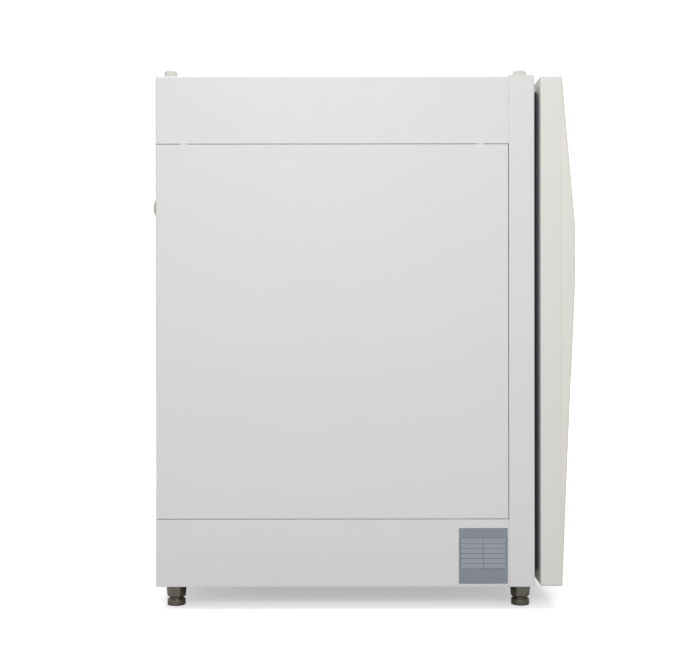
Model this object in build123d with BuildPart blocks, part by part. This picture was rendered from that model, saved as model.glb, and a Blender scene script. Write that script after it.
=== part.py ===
import os
from math import cos, radians, sin, tan

from build123d import *

os.makedirs("parts", exist_ok=True)

# A floor-standing or stacked cell-culture incubator with an outer door, an inner glass door and
# a steel chamber that is fed with three gases. X runs across, the front faces -Y, Z goes up from
# the floor. All sizes are in millimetres.

# Overall cabinet
cabinet_width = 637
cabinet_height = 876
panel_depth = 606
frame_depth = 44
frame_proud = 1.2
foot_height = 40
top_cover_height = 116
base_height = 115.5
seam_gap = 1.0
sheet = 1.5
bend_radius = 2.5
tray_depth = 12
rear_flange_width = 25

# Front frame
frame_wall = 2.5
frame_edge_radius = 2.5
frame_side = 40.5
recess_height = 680
recess_floor_height = 95
recess_radius = 10

# Outer door
door_gap = 10.3
flange_depth = 36
bulge_depth = 23.5
fascia_lip = 1.2
band_bottom_height = 526
band_height = 95
fascia_blend = 320
fascia_wall = 3
fascia_edge_radius = 3.5
spigot_depth = 4
spigot_clearance = 0.2
door_bottom_clearance = 0.9
door_rear_rim = 55
back_panel_lap = 8
door_foam_inset = 33
door_foam_depth = 24.3

# Door gasket
gasket_inset = 20
gasket_width = 14
gasket_corner_radius = 16
gasket_squeeze_gap = 0.3

# Outer door pivots, refrigerator style: a pin above and a pin below
pivot_inset = 12
pivot_setback = 24.5
pivot_radius = 4
pivot_length = 15
pivot_clearance = 0.1
bush_wall = 2.5
bush_flange_radius = 9
hinge_plate = 3
hinge_plate_width = 18
hinge_plate_inset = 1
hinge_plate_lap = 36
hinge_plate_nose = 9
hinge_plate_radius = 5.4

# Chamber
chamber_depth = 530
chamber_height = 607
chamber_floor_height = 131
liner_sheet = 1.2
liner_radius = 12
liner_flange = 55
heater_sheet = 1.0
heater_margin = 25
floor_foam = 39
side_foam = 68.1
ceiling_foam = 39

# Chamber mouth gasket and glass door
mouth_gasket_gap = 3
mouth_gasket_width = 12
mouth_gasket_depth = 9
mouth_gasket_radius = 14
glass_thickness = 6
glass_side_margin = 16
glass_end_margin = 10
glass_radius = 14
glass_pivot_inset = 10
glass_pivot_advance = 17.2
glass_pin_radius = 3
glass_pin_length = 14
clamp_height = 60
clamp_width = 42
clamp_front = 8
clamp_end_distance = 45
bracket_thickness = 4
bracket_width = 20
bracket_gap = 0.4

# Glass door latch
latch_inset = 15
latch_hub_radius = 9
latch_hub_length = 12
latch_arm_length = 18
latch_arm_width = 12
latch_arm_thickness = 4
keeper_reach = 12
keeper_height = 30
keeper_thickness = 3
keeper_gap = 0.6

# Shelves, racks and water pan
rack_post_thickness = 8
rack_post_width = 18
rack_front_setback = 48
rack_rear_setback = 32
rack_foot_lift = 18
rack_height = 515
rail_count = 4
first_rail_height = 84
rail_pitch = 130
rail_width = 17
rail_sheet = 1.5
shelf_count = 3
shelf_side_gap = 2
shelf_front_setback = 41
shelf_rear_setback = 48
shelf_height = 12
shelf_sheet = 1.2
shelf_slot_margin = 20
shelf_slot_width = 44
shelf_slot_length = 64
shelf_slot_pitch_x = 58
shelf_slot_pitch_y = 80
seat_gap = 0.3
pan_side_gap = 45
pan_depth = 350
pan_height = 40
pan_sheet = 1.2
pan_front_setback = 52
pan_rim = 8
pan_radius = 20

# Air circulation: ceiling plenum, rear duct, filter, fan
plenum_side_gap = 35
plenum_height = 60
plenum_front_setback = 150
duct_side_gap = 50
duct_depth = 22
duct_lift = 30
duct_sheet = 1.2
duct_slot_count = 9
duct_slot_width = 16
duct_slot_height = 6
duct_slot_pitch = 28
fan_setback = 190
fan_inlet_radius = 45
filter_radius = 75
filter_height = 38
filter_core_radius = 45
filter_pleats = 24
filter_pleat_depth = 3
fan_radius = 60
fan_plate = 1.5
fan_blade_height = 24
fan_blades = 12
fan_blade_inner_radius = 36
fan_blade_bow_radius = 49
fan_blade_thickness = 1.6
fan_blade_sweep = 18
fan_blade_bow = 5
fan_shroud_width = 14
fan_hub_radius = 12
fan_drop = 14
fan_shaft_radius = 4
shaft_clearance = 0.1
shaft_bore_clearance = 4
motor_radius = 42
motor_height = 58
motor_shaft_grip = 30
motor_ear = 15
motor_bevel = 7
sensor_radius = 9
sensor_length = 30
sensor_count = 3
sensor_pitch = 34

# Access port in the rear wall
port_wall_distance = 27
port_height = 661
port_bore_radius = 12.5
port_tube_wall = 3
port_flange_radius = 21
port_flange = 2
stopper_clearance = 0.3
stopper_head_radius = 19
stopper_head_length = 17.5
stopper_dome = 8
stopper_plug_length = 45
stopper_groove = 2.2

# Equipment above the chamber
deck_sheet = 1.5
board_side_gap = 45
board_motor_gap = 14
board_depth = 150
board_thickness = 1.6
board_standoff = 8
board_standoff_inset = 10
board_chip_width = 24
board_chip_depth = 25
supply_width = 110
supply_depth = 160
supply_height = 48
supply_fin_count = 5
supply_fin_gap = 8
supply_fin_margin = 8
supply_fin_depth = 16
valve_count = 3
valve_pitch = 42
valve_side_distance = 258.5
valve_size = 28
valve_height = 36
valve_setback = 120
manifold_height = 18
inlet_height = 827
inlet_reach = 38.2
inlet_radius = 4
inlet_bore_radius = 2.5
inlet_nut_size = 9
inlet_nut_length = 8
tube_radius = 3
tube_bend = 18
tube_fit_gap = 0.1

# Mains inlet and switch on the rear of the top cover
mains_side_distance = 113.5
mains_height = 824
mains_width = 50
mains_plate_height = 28
mains_plate = 3
mains_body_depth = 24
mains_cavity_width = 25
mains_cavity_height = 17
mains_cavity_depth = 16
mains_pin_pitch = 7
mains_pin_width = 2
mains_pin_height = 4
switch_side_distance = 62.5
switch_width = 15
switch_height = 21
switch_bezel = 3
rocker_gap = 0.4
rocker_depth = 10
rocker_proud = 3
rocker_notch = 2
rocker_axis_depth = 4
rocker_tilt = 8
rocker_pin_radius = 1.2
rocker_pin_gap = 0.1

# Rear details
vent_rows = 3
vent_columns = 4
vent_length = 44
vent_height = 3
vent_pitch_x = 60
vent_pitch_z = 10
vent_side_distance = 168.5
rear_screw_inset = 12
rear_screw_columns = 3
rear_screw_rows = 3
screw_head_radius = 4
screw_head_height = 2.4

# Hook tabs that bridge the upper seam
tab_width = 11
tab_end_distance = 48

# Levelling feet and stacking pads
foot_inset = 44
front_foot_offset = 18.5
rear_foot_offset = 29
foot_disc_radius = 15.7
foot_disc_height = 10.4
foot_neck_radius = 10
foot_neck_height = 2.6
foot_hex_bottom_radius = 16.2
foot_hex_taper = 4.5
foot_hex_chamfer = 2.4
foot_hex_turn = 30
foot_top_gap = 0.5
foot_stud_radius = 6
foot_stud_length = 34
foot_thread_clearance = 0.1
foot_nut_size = 30
foot_nut_height = 18
pad_inset = 32
pad_front_offset = 21
pad_rear_offset = 22
pad_radius = 12.4
pad_height = 15
pad_taper = 7
pad_bevel = 2

# Control panel on the upper facet of the door
display_width = 150
display_height = 62
display_up = 22
display_thickness = 2
display_bezel = 9
display_recess = 1
key_count = 4
key_width = 26
key_height = 15
key_pitch = 38
key_down = 58
key_proud = 1.4
key_gap = 0.4
key_stem_radius = 3
key_travel = 1.2
control_board_width = 200
control_board_height = 170
control_board_gap = 7.9
control_board_boss_inset = 8

# Pull pocket in the door front
pull_edge_distance = 54
pull_width = 34
pull_height = 130
pull_mid_height = 560
pull_depth = 20
pull_wall = 2

# Bare rating plate on the lower left side
plate_front_distance = 2.4
plate_width = 83.8
plate_height = 95.5
plate_lift = 5
plate_thickness = 0.4

# Places that follow from the sizes above
half_width = cabinet_width / 2
panel_half = half_width - frame_proud
body_bottom = foot_height
body_top = body_bottom + cabinet_height
frame_top = body_top + frame_proud
lower_seam = body_bottom + base_height
upper_seam = body_top - top_cover_height
total_depth = (
    bulge_depth + flange_depth + door_gap + frame_depth + panel_depth + inlet_reach
)
door_front_y = -total_depth / 2
door_edge_y = door_front_y + bulge_depth
door_back_y = door_edge_y + flange_depth
frame_front_y = door_back_y + door_gap
panel_front_y = frame_front_y + frame_depth
rear_y = panel_front_y + panel_depth
rear_inner_y = rear_y - sheet
recess_bottom = body_bottom + recess_floor_height
recess_top = recess_bottom + recess_height
chamber_bottom = body_bottom + chamber_floor_height
chamber_top = chamber_bottom + chamber_height
chamber_mid_z = (chamber_bottom + chamber_top) / 2
chamber_back_y = panel_front_y + chamber_depth
foam_skin = liner_sheet + heater_sheet
foam_bottom = chamber_bottom - foam_skin - floor_foam
foam_top = chamber_top + foam_skin + ceiling_foam
foam_half = panel_half - tray_depth
recess_width = cabinet_width - 2 * frame_side
foam_front_y = panel_front_y + liner_sheet
chamber_half = foam_half - foam_skin - side_foam
chamber_width = 2 * chamber_half
plenum_width = chamber_width - 2 * plenum_side_gap
duct_width = plenum_width - 2 * duct_side_gap
pan_width = chamber_width - 2 * pan_side_gap
deck_top = foam_top + deck_sheet
port_x = port_wall_distance - chamber_half
port_z = body_bottom + port_height
valve_first_x = half_width - valve_side_distance
mains_x = half_width - mains_side_distance
switch_x = half_width - switch_side_distance
vent_centre_x = vent_side_distance - half_width
fan_y = chamber_back_y - fan_setback
plenum_bottom = chamber_top - plenum_height
foot_x = half_width - foot_inset
foot_places = {
    "front_left": (-foot_x, frame_front_y + front_foot_offset),
    "front_right": (foot_x, frame_front_y + front_foot_offset),
    "rear_left": (-foot_x, rear_y - rear_foot_offset),
    "rear_right": (foot_x, rear_y - rear_foot_offset),
}


def front_plane(y):
    """Sketch plane across X and Z at depth y, whose extrusions run towards the front."""
    return Plane.XZ.offset(-y)


def side_plane(x):
    """Sketch plane across Y and Z at x, whose extrusions run towards +X."""
    return Plane.YZ.offset(x)


def block(x_range, y_range, z_range, mode=Mode.ADD):
    """A box between two places on each axis, added to the part being built."""
    spans = [max(r) - min(r) for r in (x_range, y_range, z_range)]
    middle = tuple((r[0] + r[1]) / 2 for r in (x_range, y_range, z_range))
    with Locations(middle):
        Box(*spans, mode=mode)


def save(builder, label):
    """Name a finished piece and write it to its own file."""
    builder.part.label = label
    export_step(builder.part, f"parts/{label}.step")


# Front frame: a hollow channel ring that the doors close against
with BuildPart() as front_frame:
    frame_height = frame_top - body_bottom
    with BuildSketch(front_plane(panel_front_y)):
        with Locations((0, body_bottom + frame_height / 2)):
            Rectangle(cabinet_width, frame_height)
    extrude(amount=frame_depth)
    front_face = front_frame.faces().sort_by(Axis.Y)[0]
    fillet(front_face.outer_wire().edges(), frame_edge_radius)
    with BuildSketch(front_plane(panel_front_y)):
        with Locations((0, body_bottom + frame_height / 2)):
            Rectangle(cabinet_width - 2 * frame_wall, frame_height - 2 * frame_wall)
    extrude(amount=frame_depth - frame_wall, mode=Mode.SUBTRACT)
    recess_mid_z = (recess_bottom + recess_top) / 2
    with BuildSketch(front_plane(panel_front_y)):
        with Locations((0, recess_mid_z)):
            RectangleRounded(
                recess_width + 2 * frame_wall,
                recess_height + 2 * frame_wall,
                recess_radius + frame_wall,
            )
    extrude(amount=frame_depth)
    with BuildSketch(front_plane(panel_front_y)):
        with Locations((0, recess_mid_z)):
            RectangleRounded(recess_width, recess_height, recess_radius)
    extrude(amount=frame_depth, mode=Mode.SUBTRACT)
    for foot_name in ("front_left", "front_right"):
        with Locations((*foot_places[foot_name], body_bottom)):
            Cylinder(
                foot_stud_radius + foot_thread_clearance + sheet,
                2 * frame_wall,
                mode=Mode.SUBTRACT,
            )
save(front_frame, "front_frame")

# Top cover: a folded hood with a vented rear, cut for the gas and mains fittings
switch_z = body_bottom + mains_height
gas_z = body_bottom + inlet_height
valve_xs = [valve_first_x + i * valve_pitch for i in range(valve_count)]
with BuildPart() as top_cover:
    block((-panel_half, panel_half), (panel_front_y, rear_y), (upper_seam, body_top))
    upright = top_cover.edges().filter_by(Axis.Z).group_by(Axis.Y)[-1]
    lying = top_cover.edges().group_by(Axis.Z)[-1].filter_by(Axis.Y)
    across = top_cover.edges().group_by(Axis.Z)[-1].filter_by(Axis.X).sort_by(Axis.Y)[-1]
    fillet(upright + lying + [across], bend_radius)
    block(
        (-panel_half + sheet, panel_half - sheet),
        (panel_front_y, rear_inner_y),
        (upper_seam, body_top - sheet),
        Mode.SUBTRACT,
    )
    with BuildSketch(front_plane(rear_y)):
        with Locations((vent_centre_x, gas_z)):
            with GridLocations(vent_pitch_x, vent_pitch_z, vent_columns, vent_rows):
                Rectangle(vent_length, vent_height)
        with Locations(*[(x, gas_z) for x in valve_xs]):
            Circle(inlet_radius + tube_fit_gap)
        with Locations((mains_x, switch_z)):
            Rectangle(mains_width - 2 * sheet, mains_plate_height - 2 * sheet)
        with Locations((switch_x, switch_z)):
            Rectangle(switch_width, switch_height)
    extrude(amount=2 * sheet, mode=Mode.SUBTRACT)
save(top_cover, "top_cover")


def side_panel(side):
    """A folded steel tray with a wider rear flange and two hook tabs on its upper edge."""
    low, high = lower_seam + seam_gap, upper_seam - seam_gap
    front = panel_front_y + seam_gap
    outer, tray = side * panel_half, side * (panel_half - tray_depth)
    with BuildPart() as panel:
        block((outer, tray), (front, rear_y), (low, high))
        block(
            (side * (panel_half - rear_flange_width), tray),
            (rear_inner_y, rear_y),
            (low, high),
        )
        corner = (
            panel.edges().filter_by(Axis.Z).sort_by_distance((outer, rear_y, (low + high) / 2))
        )[0]
        fillet(corner, bend_radius)
        block(
            (outer - side * sheet, tray),
            (front + sheet, rear_inner_y),
            (low + sheet, high - sheet),
            Mode.SUBTRACT,
        )
        for tab_y in (panel_front_y + tab_end_distance, rear_y - tab_end_distance):
            block(
                (outer, outer - side * sheet),
                (tab_y - tab_width / 2, tab_y + tab_width / 2),
                (high, upper_seam),
            )
    return panel


save(side_panel(-1), "left_side_panel")
save(side_panel(1), "right_side_panel")

# Base pan: a folded tray under the chamber, with clearance holes for the rear feet
with BuildPart() as base_pan:
    block((-panel_half, panel_half), (panel_front_y, rear_y), (body_bottom, lower_seam))
    upright = base_pan.edges().filter_by(Axis.Z).group_by(Axis.Y)[-1]
    fillet(upright, bend_radius)
    block(
        (-panel_half + sheet, panel_half - sheet),
        (panel_front_y, rear_inner_y),
        (body_bottom + sheet, lower_seam),
        Mode.SUBTRACT,
    )
    for foot_name in ("rear_left", "rear_right"):
        with Locations((*foot_places[foot_name], body_bottom)):
            Cylinder(
                foot_stud_radius + foot_thread_clearance + sheet,
                2 * frame_wall,
                mode=Mode.SUBTRACT,
            )
save(base_pan, "base_pan")

# Lower deck: an upturned tray inside the base that carries the insulated chamber
with BuildPart() as lower_deck:
    deck_half = panel_half - sheet
    floor_z = body_bottom + sheet
    block((-deck_half, deck_half), (foam_front_y, rear_inner_y), (floor_z, foam_bottom))
    block(
        (-deck_half + sheet, deck_half - sheet),
        (foam_front_y, rear_inner_y - sheet),
        (floor_z, foam_bottom - sheet),
        Mode.SUBTRACT,
    )
save(lower_deck, "lower_deck")

# Rear panel between the two side flanges, pierced by the access port
rear_low, rear_high = lower_seam + seam_gap, upper_seam - seam_gap
rear_half = panel_half - rear_flange_width - seam_gap
port_hole_radius = port_bore_radius + port_tube_wall
screw_span_x = 2 * (rear_half - rear_screw_inset) / (rear_screw_columns - 1)
screw_span_z = (rear_high - rear_low - 2 * rear_screw_inset) / (rear_screw_rows - 1)
screw_grid = GridLocations(screw_span_x, screw_span_z, rear_screw_columns, rear_screw_rows)
screw_points = [(p.position.X, p.position.Y + (rear_low + rear_high) / 2) for p in screw_grid]
with BuildPart() as rear_panel:
    block((-rear_half, rear_half), (rear_inner_y, rear_y), (rear_low, rear_high))
    with BuildSketch(front_plane(rear_y)):
        with Locations((port_x, port_z)):
            Circle(port_hole_radius)
    extrude(amount=2 * sheet, mode=Mode.SUBTRACT)
save(rear_panel, "rear_panel")

# Rear panel screws: their heads, seated on the panel
with BuildPart() as panel_screws:
    with BuildSketch(front_plane(rear_y)):
        with Locations(*screw_points):
            Circle(screw_head_radius)
    extrude(amount=-screw_head_height)
save(panel_screws, "panel_screws")

# Insulation: a thick foam box, open at the chamber mouth
cavity_half = chamber_half + foam_skin
cavity_low, cavity_high = chamber_bottom - foam_skin, chamber_top + foam_skin
cavity_back_y = chamber_back_y + foam_skin
motor_bore_radius = fan_shaft_radius + shaft_bore_clearance
gas_drop_x, gas_drop_y = valve_xs[0] - valve_pitch, rear_y - valve_setback
with BuildPart() as insulation:
    block((-foam_half, foam_half), (foam_front_y, rear_inner_y), (foam_bottom, foam_top))
    block(
        (-cavity_half, cavity_half),
        (foam_front_y, cavity_back_y),
        (cavity_low, cavity_high),
        Mode.SUBTRACT,
    )
    with BuildSketch(front_plane(rear_inner_y)):
        with Locations((port_x, port_z)):
            Circle(port_hole_radius)
    extrude(amount=rear_inner_y - cavity_back_y, mode=Mode.SUBTRACT)
    with BuildSketch(Plane.XY.offset(foam_top)):
        with Locations((0, fan_y)):
            Circle(motor_bore_radius)
        with Locations((gas_drop_x, gas_drop_y)):
            Circle(tube_radius + tube_fit_gap)
    extrude(amount=-ceiling_foam, mode=Mode.SUBTRACT)
save(insulation, "insulation")

# Heater mats on the outside of the liner walls, floor, ceiling and back
with BuildPart() as heater_mats:
    mat_y = (panel_front_y + heater_margin, chamber_back_y - heater_margin)
    mat_z = (chamber_bottom + heater_margin, chamber_top - heater_margin)
    mat_x = (-chamber_half + heater_margin, chamber_half - heater_margin)
    skin = chamber_half + liner_sheet
    for side in (-1, 1):
        block((side * skin, side * cavity_half), mat_y, mat_z)
    block(mat_x, mat_y, (cavity_low, cavity_low + heater_sheet))
    block(mat_x, mat_y, (cavity_high - heater_sheet, cavity_high))
    block(mat_x, (cavity_back_y - heater_sheet, cavity_back_y), mat_z)
    with Locations((0, fan_y, cavity_high)):
        Cylinder(motor_bore_radius, 4 * heater_sheet, mode=Mode.SUBTRACT)
    with Locations((gas_drop_x, gas_drop_y, cavity_high)):
        Cylinder(tube_radius + tube_fit_gap, 4 * heater_sheet, mode=Mode.SUBTRACT)
    with BuildSketch(front_plane(cavity_back_y)):
        with Locations((port_x, port_z)):
            Circle(port_hole_radius)
    extrude(amount=heater_sheet, mode=Mode.SUBTRACT)
save(heater_mats, "heater_mats")

# Chamber liner: a deep-drawn steel box with rounded corners and a flange behind the frame
with BuildPart() as chamber_liner:
    outer_half = chamber_half + liner_sheet
    block(
        (-outer_half, outer_half),
        (panel_front_y, chamber_back_y + liner_sheet),
        (chamber_bottom - liner_sheet, chamber_top + liner_sheet),
    )
    deep_edges = chamber_liner.edges().filter_by(Axis.Y)
    back_edges = chamber_liner.faces().sort_by(Axis.Y)[-1].edges()
    fillet(deep_edges + back_edges, liner_radius + liner_sheet)
    mouth_face = chamber_liner.faces().sort_by(Axis.Y)[0]
    offset(amount=-liner_sheet, openings=mouth_face)
    with BuildSketch(front_plane(panel_front_y)):
        with Locations((0, chamber_mid_z)):
            Rectangle(
                chamber_width + 2 * liner_flange,
                chamber_height + 2 * liner_flange,
            )
            RectangleRounded(
                chamber_width, chamber_height, liner_radius, mode=Mode.SUBTRACT
            )
    extrude(amount=-liner_sheet)
    with Locations((0, fan_y, chamber_top)):
        Cylinder(motor_bore_radius, 4 * liner_sheet, mode=Mode.SUBTRACT)
    with Locations((gas_drop_x, gas_drop_y, chamber_top)):
        Cylinder(tube_radius + tube_fit_gap, 4 * liner_sheet, mode=Mode.SUBTRACT)
    with BuildSketch(front_plane(chamber_back_y + liner_sheet)):
        with Locations((port_x, port_z)):
            Circle(port_hole_radius)
    extrude(amount=2 * liner_sheet, mode=Mode.SUBTRACT)
save(chamber_liner, "chamber_liner")

# Mouth gasket that the glass door closes on
with BuildPart() as mouth_gasket:
    inner_width = chamber_width + 2 * mouth_gasket_gap
    inner_height = chamber_height + 2 * mouth_gasket_gap
    with BuildSketch(front_plane(panel_front_y)):
        with Locations((0, chamber_mid_z)):
            RectangleRounded(
                inner_width + 2 * mouth_gasket_width,
                inner_height + 2 * mouth_gasket_width,
                mouth_gasket_radius + mouth_gasket_width,
            )
            RectangleRounded(
                inner_width, inner_height, mouth_gasket_radius, mode=Mode.SUBTRACT
            )
    extrude(amount=mouth_gasket_depth)
    lip = mouth_gasket.faces().sort_by(Axis.Y)[0]
    chamfer(lip.edges(), mouth_gasket_width / 5)
save(mouth_gasket, "mouth_gasket")


# Shelf racks: on each side, two posts against the chamber wall that carry four ledges
rail_zs = [chamber_bottom + first_rail_height + i * rail_pitch for i in range(rail_count)]
with BuildPart() as shelf_racks:
    wall, face = chamber_half, chamber_half - rack_post_thickness
    rack_y = (panel_front_y + rack_front_setback, chamber_back_y - rack_rear_setback)
    rack_low = chamber_bottom + rack_foot_lift
    for post_y in (rack_y[0], rack_y[1] - rack_post_width):
        block((face, wall), (post_y, post_y + rack_post_width), (rack_low, rack_low + rack_height))
    for rail_z in rail_zs:
        block((face - rail_width, face), rack_y, (rail_z - rail_sheet, rail_z))
        block((face, face + rail_sheet), rack_y, (rail_z - rail_sheet, rail_z + shelf_height))
    mirror(about=Plane.YZ)
save(shelf_racks, "shelf_racks")

# Perforated shelves that slide on the ledges
shelf_half = chamber_half - rack_post_thickness - shelf_side_gap
shelf_y = (panel_front_y + shelf_front_setback, chamber_back_y - shelf_rear_setback)
slot_columns = int((2 * shelf_half - 2 * shelf_slot_margin) / shelf_slot_pitch_x)
slot_rows = int((shelf_y[1] - shelf_y[0] - 2 * shelf_slot_margin) / shelf_slot_pitch_y)
for level in range(shelf_count):
    shelf_z = rail_zs[level] + seat_gap
    shelf_top = shelf_z + shelf_height
    with BuildPart() as shelf:
        block((-shelf_half, shelf_half), shelf_y, (shelf_z, shelf_top))
        block(
            (-shelf_half + shelf_sheet, shelf_half - shelf_sheet),
            (shelf_y[0] + shelf_sheet, shelf_y[1] - shelf_sheet),
            (shelf_z, shelf_top - shelf_sheet),
            Mode.SUBTRACT,
        )
        with BuildSketch(Plane.XY.offset(shelf_top)):
            with Locations((0, sum(shelf_y) / 2)):
                with GridLocations(shelf_slot_pitch_x, shelf_slot_pitch_y, slot_columns, slot_rows):
                    Rectangle(shelf_slot_width, shelf_slot_length)
        extrude(amount=-2 * shelf_sheet, mode=Mode.SUBTRACT)
    save(shelf, f"shelf_{level + 1}")

# Humidifying water pan on the chamber floor
with BuildPart() as water_pan:
    pan_y = panel_front_y + pan_front_setback + pan_depth / 2
    pan_z = chamber_bottom + seat_gap
    with BuildSketch(Plane.XY.offset(pan_z)):
        with Locations((0, pan_y)):
            RectangleRounded(pan_width, pan_depth, pan_radius)
    extrude(amount=pan_height)
    chamfer(water_pan.faces().sort_by(Axis.Z)[0].edges(), pan_radius / 2)
    offset(amount=-pan_sheet, openings=water_pan.faces().sort_by(Axis.Z)[-1])
    with BuildSketch(Plane.XY.offset(pan_z + pan_height)):
        with Locations((0, pan_y)):
            RectangleRounded(
                pan_width + 2 * pan_rim, pan_depth + 2 * pan_rim, pan_radius + pan_rim
            )
            RectangleRounded(
                pan_width - 2 * pan_sheet,
                pan_depth - 2 * pan_sheet,
                pan_radius - pan_sheet,
                mode=Mode.SUBTRACT,
            )
    extrude(amount=-pan_sheet)
save(water_pan, "water_pan")

# Ceiling plenum: a shallow duct with the fan inlet below and the rear duct behind
plenum_front_y = panel_front_y + plenum_front_setback
duct_front_y = chamber_back_y - duct_depth
with BuildPart() as fan_plenum:
    plenum_half = plenum_width / 2
    block(
        (-plenum_half, plenum_half),
        (plenum_front_y, chamber_back_y),
        (plenum_bottom, chamber_top),
    )
    upright = fan_plenum.edges().filter_by(Axis.Z).group_by(Axis.Y)[0]
    back_top = fan_plenum.edges().filter_by(Axis.X).group_by(Axis.Z)[-1].sort_by(Axis.Y)[-1]
    fillet(upright + [back_top], liner_radius)
    block(
        (-plenum_half + duct_sheet, plenum_half - duct_sheet),
        (plenum_front_y + duct_sheet, chamber_back_y),
        (plenum_bottom + duct_sheet, chamber_top),
        Mode.SUBTRACT,
    )
    with BuildSketch(Plane.XY.offset(plenum_bottom)):
        with Locations((0, fan_y)):
            Circle(fan_inlet_radius)
    extrude(amount=2 * duct_sheet, mode=Mode.SUBTRACT)
    block(
        (-duct_width / 2, duct_width / 2),
        (duct_front_y, chamber_back_y),
        (plenum_bottom, plenum_bottom + 2 * duct_sheet),
        Mode.SUBTRACT,
    )
save(fan_plenum, "fan_plenum")

# Rear duct: a channel that leads the air down to outlet slots near the floor
with BuildPart() as rear_duct:
    duct_half = duct_width / 2
    duct_low = chamber_bottom + duct_lift
    block((-duct_half, duct_half), (duct_front_y, chamber_back_y), (duct_low, plenum_bottom))
    block(
        (-duct_half + duct_sheet, duct_half - duct_sheet),
        (duct_front_y + duct_sheet, chamber_back_y),
        (duct_low + duct_sheet, plenum_bottom),
        Mode.SUBTRACT,
    )
    with BuildSketch(front_plane(duct_front_y + 2 * duct_sheet)):
        with Locations((0, duct_low + duct_slot_pitch)):
            with GridLocations(duct_slot_pitch, duct_slot_pitch, duct_slot_count, 1):
                Rectangle(duct_slot_width, duct_slot_height)
    extrude(amount=4 * duct_sheet, mode=Mode.SUBTRACT)
save(rear_duct, "rear_duct")

# Pleated air filter hung under the fan inlet
with BuildPart() as hepa_filter:
    cap = filter_pleat_depth
    with BuildSketch(Plane.XY.offset(plenum_bottom)):
        with Locations((0, fan_y)):
            Circle(filter_radius)
            Circle(filter_core_radius, mode=Mode.SUBTRACT)
    extrude(amount=-filter_height)
    with BuildSketch(Plane.XY.offset(plenum_bottom - cap)):
        with Locations((0, fan_y)):
            with PolarLocations(filter_radius, filter_pleats):
                Rectangle(2 * filter_pleat_depth, filter_pleat_depth)
    extrude(amount=2 * cap - filter_height, mode=Mode.SUBTRACT)
    with Locations((0, fan_y, plenum_bottom - filter_height + cap / 2)):
        Cylinder(filter_core_radius, cap)
save(hepa_filter, "hepa_filter")

# Fan wheel: back plate, curved blades, shroud ring and the shaft up to the motor
fan_top = chamber_top - fan_drop
blade_sweep, blade_bow_turn = radians(fan_blade_sweep), radians(fan_blade_bow)
blade_end_radius = fan_radius - fan_blade_thickness
with BuildSketch() as fan_blade:
    with BuildLine():
        ThreePointArc(
            (fan_blade_inner_radius, 0),
            (fan_blade_bow_radius * cos(blade_bow_turn), fan_blade_bow_radius * sin(blade_bow_turn)),
            (blade_end_radius * cos(blade_sweep), blade_end_radius * sin(blade_sweep)),
        )
    trace(line_width=fan_blade_thickness)
with BuildPart() as fan_wheel:
    blade_low = fan_top - fan_plate - fan_blade_height
    with Locations((0, fan_y, fan_top - fan_plate / 2)):
        Cylinder(fan_radius, fan_plate)
    with BuildSketch(Plane.XY.offset(blade_low)):
        with Locations((0, fan_y)):
            Circle(fan_radius)
            Circle(fan_radius - fan_shroud_width, mode=Mode.SUBTRACT)
    extrude(amount=-fan_plate)
    with BuildSketch(Plane.XY.offset(blade_low)):
        with Locations((0, fan_y)):
            with PolarLocations(0, fan_blades):
                add(fan_blade.sketch)
    extrude(amount=fan_blade_height)
    with Locations((0, fan_y, fan_top)):
        Cylinder(
            fan_hub_radius,
            fan_blade_height,
            align=(Align.CENTER, Align.CENTER, Align.MAX),
        )
    with Locations((0, fan_y, fan_top)):
        Cylinder(
            fan_shaft_radius,
            deck_top + motor_shaft_grip - fan_top,
            align=(Align.CENTER, Align.CENTER, Align.MIN),
        )
save(fan_wheel, "fan_wheel")

# Fan motor above the insulation, with the bearing bore that carries the fan shaft
with BuildPart() as fan_motor:
    with BuildSketch(Plane.XY.offset(deck_top)):
        with Locations((0, fan_y)):
            Circle(motor_radius)
    extrude(amount=motor_height)
    chamfer(fan_motor.faces().sort_by(Axis.Z)[-1].edges(), motor_bevel)
    with BuildSketch(Plane.XY.offset(deck_top)):
        with Locations((0, fan_y)):
            RectangleRounded(2 * (motor_radius + motor_ear), 2 * motor_radius, motor_radius / 4)
    extrude(amount=2 * deck_sheet)
    with BuildSketch(Plane.XY.offset(deck_top)):
        with Locations((0, fan_y)):
            Circle(fan_shaft_radius + shaft_clearance)
    extrude(amount=motor_shaft_grip + deck_sheet, mode=Mode.SUBTRACT)
save(fan_motor, "fan_motor")

# Upper deck: the plate that carries the equipment over the insulation
with BuildPart() as upper_deck:
    block((-foam_half, foam_half), (foam_front_y, rear_inner_y), (foam_top, deck_top))
    with BuildSketch(Plane.XY.offset(foam_top)):
        with Locations((0, fan_y)):
            Circle(motor_bore_radius)
        with Locations((gas_drop_x, gas_drop_y)):
            Circle(tube_radius + tube_fit_gap)
    extrude(amount=2 * deck_sheet, mode=Mode.SUBTRACT)
save(upper_deck, "upper_deck")

# Sensors for temperature, carbon dioxide and oxygen under the plenum
with BuildPart() as chamber_sensors:
    sensor_x = (filter_radius + plenum_width / 2) / 2
    sensor_y = fan_y + (fan_setback - duct_depth - filter_radius) / 3
    with BuildSketch(Plane.XY.offset(plenum_bottom)):
        with Locations((sensor_x, sensor_y - sensor_pitch)):
            with GridLocations(0, sensor_pitch, 1, sensor_count):
                Circle(sensor_radius)
    extrude(amount=-sensor_length)
save(chamber_sensors, "chamber_sensors")

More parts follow.
